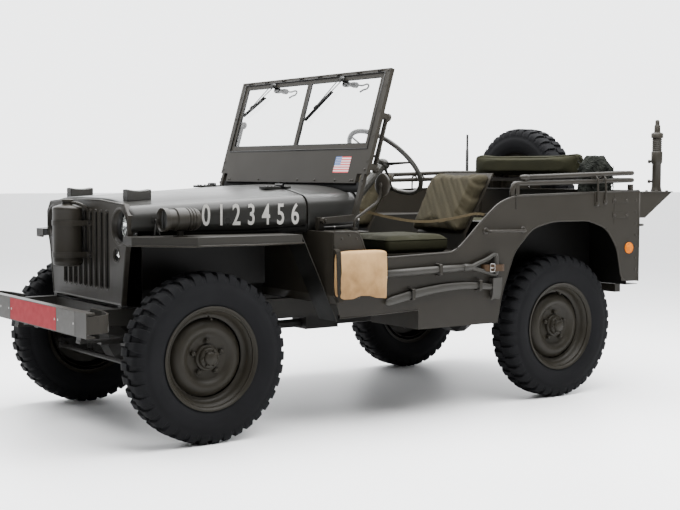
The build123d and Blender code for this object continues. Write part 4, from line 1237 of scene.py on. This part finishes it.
def inflate(frames=20):
    """Blow up every pad at once, each point going no further than its pad allows."""
    started = [[vertex.co.copy() for vertex in piece.data.vertices] for piece, rise, middle in padding]
    for piece, rise, middle in padding:
        cloth = piece.modifiers.new("stuffing", "CLOTH")
        cloth.settings.use_pressure = True
        cloth.settings.uniform_pressure_force = 4
        cloth.settings.effector_weights.gravity = 0
        cloth.settings.quality = 4
        cloth.point_cache.frame_end = frames
    for frame_number in range(1, frames + 1):
        bpy.context.scene.frame_set(frame_number)
    for piece, rise, middle in padding:
        flatten(piece)
    bpy.context.scene.frame_set(1)
    for (piece, rise, middle), before in zip(padding, started):
        for vertex, start in zip(piece.data.vertices, before):
            moved = vertex.co - start
            if moved.length > rise:
                vertex.co = start + moved.normalized() * rise


pads = [
    # name, row of (y, z) corners: low front, high front, low rear, high rear; x low, x high, finish, rise, rounding
    ("cushion_left", ((974, 762), (974, 832), (1387, 762), (1387, 834)), 194, 596, canvas, 0.014, 0.022),
    ("cushion_right", ((974, 762), (974, 832), (1387, 762), (1387, 834)), -596, -194, canvas, 0.014, 0.022),
    ("cushion_rear", ((1984, 802), (1984, 874), (2376, 802), (2376, 874)), -430, 430, canvas, 0.012, 0.022),
    ("back_left", ((1396, 846), (1562, 1142), (1484, 846), (1664, 1142)), 192, 598, cover_canvas, 0.014, 0.034),
    ("back_right", ((1396, 846), (1562, 1142), (1484, 846), (1664, 1142)), -598, -192, cover_canvas, 0.014, 0.034),
    ("back_rear", ((2400, 1118), (2400, 1252), (2470, 1118), (2470, 1252)), -434, 434, canvas, 0.012, 0.030),
]
for name, rows, x_low, x_high, finish, rise, rounding in pads:
    pad(name, [at(x, y, z) for x in (x_low, x_high) for y, z in rows], finish, "chassis", rise, rounding)
inflate()


def folds(piece, depth, start, rows_between, lean_by, seed):
    """Hanging folds across a slip cover: deep at its gathered top edge, nearly gone at its foot."""
    rng = random.Random(seed)
    waves = [(rng.uniform(26, 95), rng.uniform(0, 6.3), rng.uniform(0.4, 1.0)) for n in range(6)]
    low, high = rows_between
    normals = [vertex.normal.copy() for vertex in piece.data.vertices]
    for vertex, normal in zip(piece.data.vertices, normals):
        up = min(1, max(0, (vertex.co.z - low) / (high - low)))
        across = vertex.co.x + lean_by * (up - 0.5)
        ripple = sum(size * sin(across * pitch + phase + up * 2.2) for pitch, phase, size in waves) / 6
        creases = -abs(sin(across * 41 + up * 3.1 + start)) ** 6 * 0.8
        vertex.co += normal * depth * (ripple + creases) * (0.25 + 0.75 * up ** 1.3)


def settle(piece, floor_z):
    """Press a pad's underside flat on what carries it."""
    for vertex in piece.data.vertices:
        vertex.co.z = max(vertex.co.z, floor_z)


def seam(piece, level, across, body, finish, name, r=0.0032):
    """A corded seam round a pad where a plane cuts it."""
    shape = bmesh.new()
    shape.from_mesh(piece.data)
    geometry = list(shape.verts) + list(shape.edges) + list(shape.faces)
    cut = bmesh.ops.bisect_plane(shape, geom=geometry, plane_co=level, plane_no=across)
    edges = [part for part in cut["geom_cut"] if isinstance(part, bmesh.types.BMEdge)]
    loop = [edges[0].verts[0], edges[0].verts[1]]
    left = set(edges[1:])
    while left:
        nxt = next((edge for edge in loop[-1].link_edges if edge in left), None)
        if nxt is None:
            break
        left.discard(nxt)
        loop.append(nxt.other_vert(loop[-1]))
    middle = sum((vert.co for vert in loop), Vector()) / len(loop)
    path = [vert.co + (vert.co - middle).normalized() * r * 0.35 for vert in loop[::2]]
    shape.free()
    cord = bmesh.new()
    tube(cord, path + path[:2], r, 8)
    return add_piece(name, cord, body, finish)


stuffed = {piece.name: piece for piece, rise, middle in padding}
for name, start, lean_by, seed in (("back_left", 0.4, 0.22, 4), ("back_right", 2.1, -0.1, 9)):
    folds(stuffed[name], 0.0085, start, (0.86, 1.12), lean_by, seed)
for name, pan_z, level in (("left", 0.7603, 822), ("right", 0.7603, 822), ("rear", 0.8003, 862)):
    name = f"cushion_{name}"
    settle(stuffed[name], pan_z)
    seam(stuffed[name], at(0, 0, level), (0, 0, 1), "chassis", canvas, f"{name}_cord")
seam(stuffed["back_rear"], at(0, 2410, 0), (0, 1, 0), "chassis", canvas, "back_rear_cord")
for piece in stuffed.values():
    piece.modifiers.new("smooth_cloth", "SUBSURF").levels = 1
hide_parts("seat_cushions")
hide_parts("seat_backs")

# Shovel and axe
# An ash-handled shovel with a steel grip and a felling axe, both painted over with the body, lie in clips along
# the left side and are held by a leather strap; the shovel's blade is behind the canvas bag.
tool_paint = Finish("tool_paint", olive, 0.55, Specular_IOR_Level=0.25)
grain = tool_paint.noise(70, detail=5, stretch=(1, 0.1, 1))
tool_paint.shade(grain, (0.0150, 0.0140, 0.0118), (0.0260, 0.0243, 0.0205))
tool_paint.rough(grain * 0.2 + 0.45)
tool_paint.bump(grain, 0.001, 0.4)


def tool_at(y, z):
    """A point in the upright plane in which both tools lie."""
    return at(766, y, z)


shape = bmesh.new()
handle = eased([tool_at(836, 687), at(767, 1100, 694), tool_at(1325, 697)], 0.1, 4)
tube(shape, handle, [0.0165] * (len(handle) - 1) + [0.0145], 14)
socket = [tool_at(1296, 697), tool_at(1318, 697), tool_at(1346, 697), tool_at(1372, 698)]
tube(shape, socket, [0.0178, 0.0178, 0.0150, 0.0095], 14)
for tip, bend in ((752, 728), (655, 672)):
    arm = [tool_at(1340, 697), tool_at(1385, (697 + bend) / 2), tool_at(1440, bend), tool_at(1492, tip),
           tool_at(1506, tip - (tip - 703) * 0.12)]
    tube(shape, eased(arm, 0.03, 5), 0.0098, 12)
tube(shape, [tool_at(1504, 652), tool_at(1504, 664), tool_at(1504, 742), tool_at(1504, 756)],
     [0.0085, 0.0130, 0.0130, 0.0085], 14)
shovel = add_piece("shovel", shape, "chassis", tool_paint)
axe_x, axe_steps = 765, 20
axe_rows = [
    # y, middle z, half height, half thickness
    (836, 556, 20, 9), (920, 572, 20, 10), (1000, 587, 20, 10), (1090, 600, 19, 10), (1180, 609, 18, 10),
    (1270, 613, 17, 10), (1360, 611, 16, 10), (1440, 603, 15, 10), (1505, 594, 14, 10), (1521, 591, 12, 8),
]
shape = bmesh.new()
loops = []
for y, middle, half, thick in axe_rows:
    turns = [2 * pi * n / axe_steps for n in range(axe_steps)]
    loops.append([at(axe_x + thick * cos(a), y, middle + half * sin(a)) for a in turns])
skin(shape, loops)
handle = add_piece("axe_handle", shape, "chassis", tool_paint)
handle.modifiers.new("smooth_wood", "SUBSURF").levels = 1
head_side = [(1476, 580, 13), (1478, 560, 9), (1474, 534, 2), (1500, 541, 2), (1528, 535, 2), (1531, 562, 9),
             (1533, 585, 14), (1534, 640, 15), (1476, 640, 15)]
shape = bmesh.new()
skin(shape, [[at(766 + sign * thick, y, z) for y, z, thick in head_side] for sign in (-1, 1)])
head = add_piece("axe_head", shape, "chassis", tool_paint, smooth=False)
bevelled(head, 0.0025, segments=3, angle=20)
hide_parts("tools")
shape = bmesh.new()
for y, z_low, z_high in ((1150, 672, 716), (990, 566, 610), (1395, 590, 632)):
    clip = eased([at(751, y, z_low - 14), at(751, y, z_low - 3), at(784, y, z_low - 3), at(784, y, z_high + 3),
                  at(751, y, z_high + 3), at(751, y, z_high + 14)], 0.008, 3)
    band(shape, clip, (0, 1, 0), 0.018, 0.0022)
clips = add_piece("tool_clips", shape, "chassis", body_paint, smooth=False)
bevelled(clips, 0.0006, segments=1)

# Leather strap
# A brown strap of harness leather, punched and buckled, fixed to the side at both of its ends, that holds the
# tools in at the rear. Its buckle is bent from bare steel rod.
leather = Finish("harness_leather", (0.06, 0.024, 0.009), 0.6, Specular_IOR_Level=0.2)
pores = leather.node("TexVoronoi", None, {"Vector": leather.place(), "Scale": 420.0})
age = leather.noise(30, detail=5)
leather.shade(age, (0.046, 0.024, 0.0095), (0.018, 0.010, 0.0045))
leather.rough(age * 0.25 + 0.42)
leather.bump(pores, 0.0006, 0.4)
shape = bmesh.new()
strap = eased([at(751, 1424, 690), at(768, 1426, 690), at(781, 1440, 690), at(783, 1490, 689), at(783, 1535, 688),
               at(768, 1556, 687), at(751, 1560, 687)], 0.012, 4)
band(shape, strap, (0, 0, 1), 0.032, 0.0030)
tool_strap = add_piece("tool_strap", shape, "chassis", leather, smooth=False)
bevelled(tool_strap, 0.0008, segments=1)
shape = bmesh.new()
buckle = [at(785.5, y, z) for y, z in ((1452, 672), (1480, 672), (1480, 709), (1452, 709), (1452, 672), (1480, 672))]
tube(shape, eased(buckle, 0.004, 3), 0.0019, 8)
tube(shape, [at(786, 1453, 690), at(786, 1478, 690)], 0.0016, 8)
add_piece("strap_buckle", shape, "chassis", bare_steel)

# Canvas bag
# A folded basin of pale duck canvas, stuffed, strapped upright against the side in front of the tools. Its flap
# hangs over the front down to a hemmed, wavy foot.
duck = Finish("duck_canvas", (0.42, 0.30, 0.17), 0.88, Specular_IOR_Level=0.2)
stain = duck.noise(11, detail=7, rough=0.6)
weft = duck.node("TexWave", {"bands_direction": "Z"}, {"Vector": duck.place(), "Scale": 260.0}, output=1)
warp = duck.node("TexWave", {"bands_direction": "Y"}, {"Vector": duck.place(), "Scale": 260.0}, output=1)
height = duck.node("SeparateXYZ", None, {0: duck.place()}, output=2)
# stains at random, and painted shade that darkens the canvas towards its foot
duck.shade(stain * 1.5 - (height - 0.69) * 2.6 - 0.28, (0.40, 0.245, 0.108), (0.155, 0.086, 0.034))
duck.rough(stain * 0.12 + 0.8)
duck.bump(weft * 0.5 + warp * 0.5, 0.0007, 0.5)
bag_top = 788
bag_foot = [(560, 598), (600, 584), (640, 584), (690, 596), (730, 594), (780, 582), (830, 578)]


def foot_at(y):
    """Height of the bag's wavy lower edge."""
    for (y0, z0), (y1, z1) in zip(bag_foot, bag_foot[1:]):
        if y <= y1:
            share = (y - y0) / (y1 - y0)
            share = share * share * (3 - 2 * share)
            return z0 + (z1 - z0) * share
    return bag_foot[-1][1]


shape = bmesh.new()
loops = []
for k in range(29):
    share = k / 28
    y = 562 + 270 * share
    end = min(1, 5.5 * min(share + 0.03, 1 - share + 0.03))
    loop = []
    foot = foot_at(y) + 4
    for n in range(32):
        a = 2 * pi * n / 32
        fat = 15.5 * (0.45 + 0.55 * end ** 0.5) + 1.2 * sin(y / 19) * sin(n * 0.9)
        z_mid, z_half = (foot + bag_top) / 2, (bag_top - foot) / 2
        loop.append(at(768 + fat * abs(cos(a)) ** 0.6 * (1 if cos(a) > 0 else -1), y,
                       z_mid + z_half * abs(sin(a)) ** 0.7 * (1 if sin(a) > 0 else -1)))
    loops.append(loop)
skin(shape, loops)
bag = add_piece("canvas_basin", shape, "chassis", duck)
bag.modifiers.new("smooth_cloth", "SUBSURF").levels = 1
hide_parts("canvas_bag")
shape = bmesh.new()
loops = []
for k in range(40):
    y = 578 + 253 * k / 39
    drop = 796 - foot_at(y)
    plump = 15 * sin(pi * (k + 0.6) / 40.2) ** 0.6
    sag = 7 * abs(2 * k / 39 - 1) ** 5
    over = ((754, 793), (764, 798), (777, 797.5), (785 + plump * 0.35, 790))
    row = [at(x, y, z - sag) for x, z in over]
    row += [at(785.5 + plump * sin(pi * (n + 2) / 19) + 2.4 * sin(y / 17 + n * 0.45) * sin(pi * n / 16) ** 2, y,
               790 - sag - (drop - 8 - sag) * n / 16) for n in range(1, 17)]
    loops.append(row)
skin(shape, loops, around=False)
flap = add_piece("basin_flap", shape, "chassis", duck)
wall = flap.modifiers.new("cloth", "SOLIDIFY")
wall.thickness = 0.0014
wall.offset = 0
flap.modifiers.new("smooth_cloth", "SUBSURF").levels = 1
stitch = Finish("pale_thread", (0.42, 0.33, 0.20), 0.8)
stitch.bump(stitch.noise(900), 0.0002, 0.4)
shape = bmesh.new()
for n in range(38):
    z = 786 - n * 5.2
    if z > 590:
        out = 787.2 + 8 * sin(pi * (790 - z) / 240)
        tube(shape, [at(out, 824, z), at(out + 0.3, 824, z - 1.6), at(out, 824, z - 3.2)], 0.0006, 5)
add_piece("flap_stitches", shape, "chassis", stitch)
webbing = Finish("dark_webbing", (0.010, 0.009, 0.006), 0.9, Specular_IOR_Level=0.12)
ribs = webbing.node("TexWave", {"bands_direction": "DIAGONAL"}, {"Vector": webbing.place(), "Scale": 240.0},
                    output=1)
webbing.shade(webbing.noise(40), (0.008, 0.007, 0.005), (0.018, 0.015, 0.011))
webbing.bump(ribs, 0.0008, 0.6)
shape = bmesh.new()
carry = eased([at(752, 566, 806), at(770, 566, 808), at(786, 567, 797), at(788, 570, 700), at(787, 574, 610),
               at(778, 590, 574), at(756, 594, 570)], 0.015, 5)
band(shape, carry, (0, 1, 0), 0.026, 0.0024)
bag_strap = add_piece("bag_strap", shape, "chassis", webbing, smooth=False)
bevelled(bag_strap, 0.0006, segments=1)
shape = bmesh.new()
knob = [(-0.008, 0), (-0.007, 0.007), (0, 0.0095), (0.007, 0.007), (0.009, 0)]
turned(shape, knob, 16, facing(at(777, 828, 688), (0, 1, 0)))
tube(shape, eased([at(777, 834, 688), at(777, 840, 676), at(775, 838, 664)], 0.006), 0.0025, 8)
add_piece("bag_toggle", shape, "chassis", white_paint)

# Door strap
# A webbing belt across the left door opening, held by a bent steel eye at each end. One eye is fixed to the end
# of the cowl and the other to the tub behind the door.
belt_webbing = Finish("belt_webbing", (0.06, 0.045, 0.025), 0.9, Specular_IOR_Level=0.12)
belt_webbing.shade(belt_webbing.noise(50), (0.030, 0.023, 0.012), (0.060, 0.046, 0.025))
belt_webbing.bump(belt_webbing.noise(500), 0.0005, 0.4)
shape = bmesh.new()
belt = eased([at(566, 812, 978), at(600, 852, 962), at(655, 930, 938), at(700, 1030, 918), at(722, 1130, 914),
              at(734, 1265, 928), at(740, 1400, 950), at(741, 1462, 941)], 0.06, 5)
band(shape, belt, (0, 0.25, 1), 0.0125, 0.0022)
band(shape, [at(726, 1180, 918), at(730, 1215, 922)], (0, 0.25, 1), 0.0165, 0.0060)
add_piece("door_belt", shape, "chassis", belt_webbing, smooth=False)
shape = bmesh.new()
block(shape, at(556, 806.5, 964), at(576, 810, 992))
tube(shape, eased([at(566, 809, 970), at(566, 818, 970), at(566, 818, 988), at(566, 809, 988)], 0.004), 0.0026, 8)
block(shape, at(743, 1450, 922), at(746.8, 1474, 950))
tube(shape, eased([at(744, 1462, 928), at(737, 1462, 928), at(737, 1462, 944), at(744, 1462, 944)], 0.004), 0.0026, 8)
eyes = add_piece("belt_eyes", shape, "chassis", oily_steel)
bevelled(eyes, 0.001, segments=1, angle=60)

# Top bows
# Two hoops of bent steel tube that carry the canvas top, folded down level round the rear of the tub. On each
# side they rest on two posts and are held down by two hooked latches.
bow_x = 734.5
shape = bmesh.new()
for end_y, low, high in ((1692, 1120, 1143), (1640, 1089, 1106)):
    half = []
    if end_y == 1640:
        half = [at(bow_x, 1632, 1000), at(bow_x, 1634, 1062), at(bow_x, 1648, 1089)]
    half += [at(bow_x, end_y + 24, low), at(bow_x, 2100, (low + high) / 2), at(bow_x, 2440, high - 1),
             at(732, 2492, high), at(700, 2508, high), at(0, 2508, high)]
    path = half + [Vector((-point.x, point.y, point.z)) for point in half[-2::-1]]
    path = eased(path, 0.034, 6)
    tube(shape, path, 0.0122, 14)
    if end_y == 1692:
        for side in (1, -1):
            tip = [at(side * bow_x, y, low) for y in (1684, 1692, 1718, 1742)]
            tube(shape, tip, [0.006, 0.0105, 0.0145, 0.0122], 12)
bows = add_piece("top_hoops", shape, "chassis", body_paint)
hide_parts("top_bows")
shape = bmesh.new()
for side in (1, -1):
    for y in (1660, 2470):
        side_block(shape, side, (726, 746.5), (y - 11, y + 11), (960, 1084))
    side_block(shape, side, (727, 742), (1710, 1727), (1088, 1124))
    side_block(shape, side, (750.2, 753), (2188, 2276), (975, 1046))
    for y, foot in ((2204, 982), (2262, 992)):
        bends = ((753, foot), (759, foot + 8), (759, 1070), (756, 1118), (735, 1124), (716, 1116), (716, 1096))
        hook = [at(side * x, y, z) for x, z in bends]
        tube(shape, eased(hook, 0.016, 5), 0.0052, 10)
        boss = [(0, 0.012), (0.006, 0.012), (0.009, 0.008), (0.010, 0)]
        turned(shape, boss, 16, facing(at(side * 753, y, foot + 2), (side, 0, 0)))
    spring = []
    for n in range(120):
        a = 2 * pi * n / 9
        spring.append(at(side * (748 + 5 * cos(a)), 1645 + 5 * sin(a), 965 + n * 0.62))
    tube(shape, spring, 0.0012, 5)
posts = add_piece("hoop_posts", shape, "chassis", body_paint)
bevelled(posts, 0.0016, segments=2, angle=40)

# Antennas
# A sheet-steel shelf braced off the left rear corner carries the spring base of a whip, its whip taken out; a thin
# rod stands in a clip at the right.
shape = bmesh.new()
block(shape, at(590, 2528.3, 1040), at(700, 2850, 1045))
brace = [(2528.3, 905), (2528.3, 1041), (2848, 1041), (2636, 905)]
skin(shape, [[at(x, y, z) for y, z in brace] for x in (691, 695)])
block(shape, at(590, 2528.3, 985), at(594, 2600, 1041))
shelf = add_piece("antenna_shelf", shape, "chassis", body_paint, smooth=False)
bevelled(shelf, 0.0014)
heads = [(at(x, y, 1045), (0, 0, 1)) for x in (610, 680) for y in (2740, 2822)]
heads += [(at(695.5, 2545, z), (1, 0, 0)) for z in (930, 975, 1020)]
fasteners("shelf_bolts", heads, "chassis", body_paint, r=0.008, tall=0.006)
mast_profile = [
    # height, radius: foot, tube, collar; then six rings, the head and the socket for the whip
    (1.0460, 0.0), (1.0460, 0.0300), (1.0500, 0.0300), (1.0560, 0.0270), (1.0720, 0.0245), (1.1900, 0.0240),
    (1.1960, 0.0270), (1.2020, 0.0300), (1.2560, 0.0300), (1.2620, 0.0260),
]
for n in range(6):
    base = 1.2640 + n * 0.0110
    mast_profile += [(base, 0.0235), (base + 0.0030, 0.0270), (base + 0.0070, 0.0270), (base + 0.0100, 0.0235)]
mast_profile += [
    (1.3310, 0.0250), (1.3340, 0.0325), (1.3560, 0.0325), (1.3600, 0.0280), (1.3640, 0.0170), (1.3980, 0.0160),
    (1.4020, 0.0135), (1.4060, 0.0120), (1.4240, 0.0115), (1.4300, 0.0080), (1.4315, 0.0),
]
shape = bmesh.new()
turned(shape, mast_profile, 36, facing(at(643, 2780, 0), (0, 0, 1)))
for z in (1098, 1206):
    tube(shape, [at(643, 2780, z), at(606, 2762, z)], 0.0062, 10)
    tube(shape, [at(612, 2765, z), at(601, 2760, z)], 0.0105, 6)
mast = add_piece("antenna_base", shape, "chassis", body_paint)
bevelled(mast, 0.0006, segments=1, angle=50)
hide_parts("antennas")
shape = bmesh.new()
block(shape, at(-655, 2528.3, 985), at(-625, 2534, 1046))
tube(shape, [at(-640, 2540, z) for z in (1000, 1280, 1286, 1376)], [0.0094, 0.0090, 0.0070, 0.0068], 12)
collar = [(1.050, 0.0094), (1.052, 0.0128), (1.066, 0.0128), (1.068, 0.0094)]
turned(shape, collar, 16, facing(at(-640, 2540, 0), (0, 0, 1)))
rod_mast = add_piece("right_rod", shape, "chassis", lamp_black)
bevelled(rod_mast, 0.0006, segments=1, angle=50)

# Net bundle
# A camouflage net of tarred cord with scraps of dark cloth knotted in, rolled up loose, tied round and stood on
# the left wheel house.
net_cord = Finish("net_cord", (0.010, 0.012, 0.010), 0.95, Specular_IOR_Level=0.08)
tangle = net_cord.node("TexVoronoi", {"feature": "DISTANCE_TO_EDGE"}, {"Vector": net_cord.place(), "Scale": 46.0})
net_cord.shade(net_cord.noise(38, detail=6), (0.003, 0.0035, 0.0035), (0.016, 0.0175, 0.014))
net_cord.bump(tangle, 0.012, 0.8)
roll_x, roll_y = 555, 2400
rng = random.Random(11)
shape = bmesh.new()
loops = []
for k in range(34):
    z = 903 + 330 * k / 33
    round_off = min(1, 6 * (k / 33 + 0.12), 3.2 * (1 - k / 33) + 0.34)
    loop = []
    for n in range(72):
        a = 2 * pi * n / 72
        lumps = sin(3 * a + z / 23) * 5 + sin(7 * a - z / 15) * 3.5 + sin(13 * a + z / 8) * 2.2
        lumps += rng.uniform(-1.6, 1.6)
        r = (80 + 8 * k / 33 + lumps) * round_off ** 0.6
        loop.append(at(roll_x + r * cos(a), roll_y + r * sin(a), z + 3 * sin(5 * a)))
    loops.append(loop)
skin(shape, loops)
roll = add_piece("net_roll", shape, "chassis", net_cord)
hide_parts("net_bundle")
shape = bmesh.new()
for n in range(70):
    a, z = rng.uniform(0, 2 * pi), rng.uniform(930, 1215)
    sweep, rising = rng.uniform(0.35, 0.9), rng.uniform(-70, 70)
    path = []
    for k in range(7):
        t = k / 6
        bow = a + sweep * (t - 0.5)
        r = 90 + 4 * sin(pi * t) + rng.uniform(-1.5, 1.5)
        path.append(at(roll_x + r * cos(bow), roll_y + r * sin(bow), min(1228, max(910, z + rising * (t - 0.5)))))
    tube(shape, path, 0.0022, 6)
add_piece("net_strands", shape, "chassis", net_cord)

# Mirror
# A round silvered glass in a pressed steel back, with a bolt through it, on a bent steel rod. The rod's foot
# stands on the left side of the cowl, and all but the glass is painted with the body.
shape = bmesh.new()
mirror_place = facing(at(668, 893, 1085), (0, -1, 0))
back = [(-0.0070, 0.0500), (-0.0060, 0.0530), (0.0010, 0.0530), (0.0040, 0.0505), (0.0070, 0.0400), (0.0085, 0.0200),
        (0.0088, 0.0)]
turned(shape, back, 48, mirror_place)
turned(shape, [(0.0080, 0.0120), (0.0110, 0.0110), (0.0150, 0.0070), (0.0152, 0)], 6, mirror_place)
arm = [at(664, 738, 884), at(664, 740, 930), at(668, 872, 1010), at(668, 886, 1050), at(668, 888, 1082)]
tube(shape, eased(arm, 0.03, 5), 0.0062, 12)
block(shape, at(652, 725, 880.4), at(676, 750, 893))
mirror = add_piece("mirror_back", shape, "chassis", body_paint)
bevelled(mirror, 0.0008, segments=1, angle=50)
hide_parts("side_mirror")
turned_piece("mirror_glass", [(-0.0062, 0.0495), (-0.0066, 0.0)], 48, mirror_place, "chassis", plated)

# Spare wheel's bracket, tow hook and rear guards
# A forged hook and pressed steel guards, bolted to the rear panel and the rear cross member with hexagon bolts
# and painted with the body.
body_paint.coat(nodes["rear_hook_and_guards"])
bevelled(nodes["rear_hook_and_guards"], 0.003, segments=2)
heads = [(at(side * x, 2562.5, 522), (0, 1, 0)) for side in (1, -1) for x in (330, 530)]
heads += [(at(x, 2572.2, z), (0, 1, 0)) for x in (-48, 48) for z in (500, 536)]
fasteners("rear_bolts", heads, "chassis", oily_steel, r=0.010, tall=0.008)
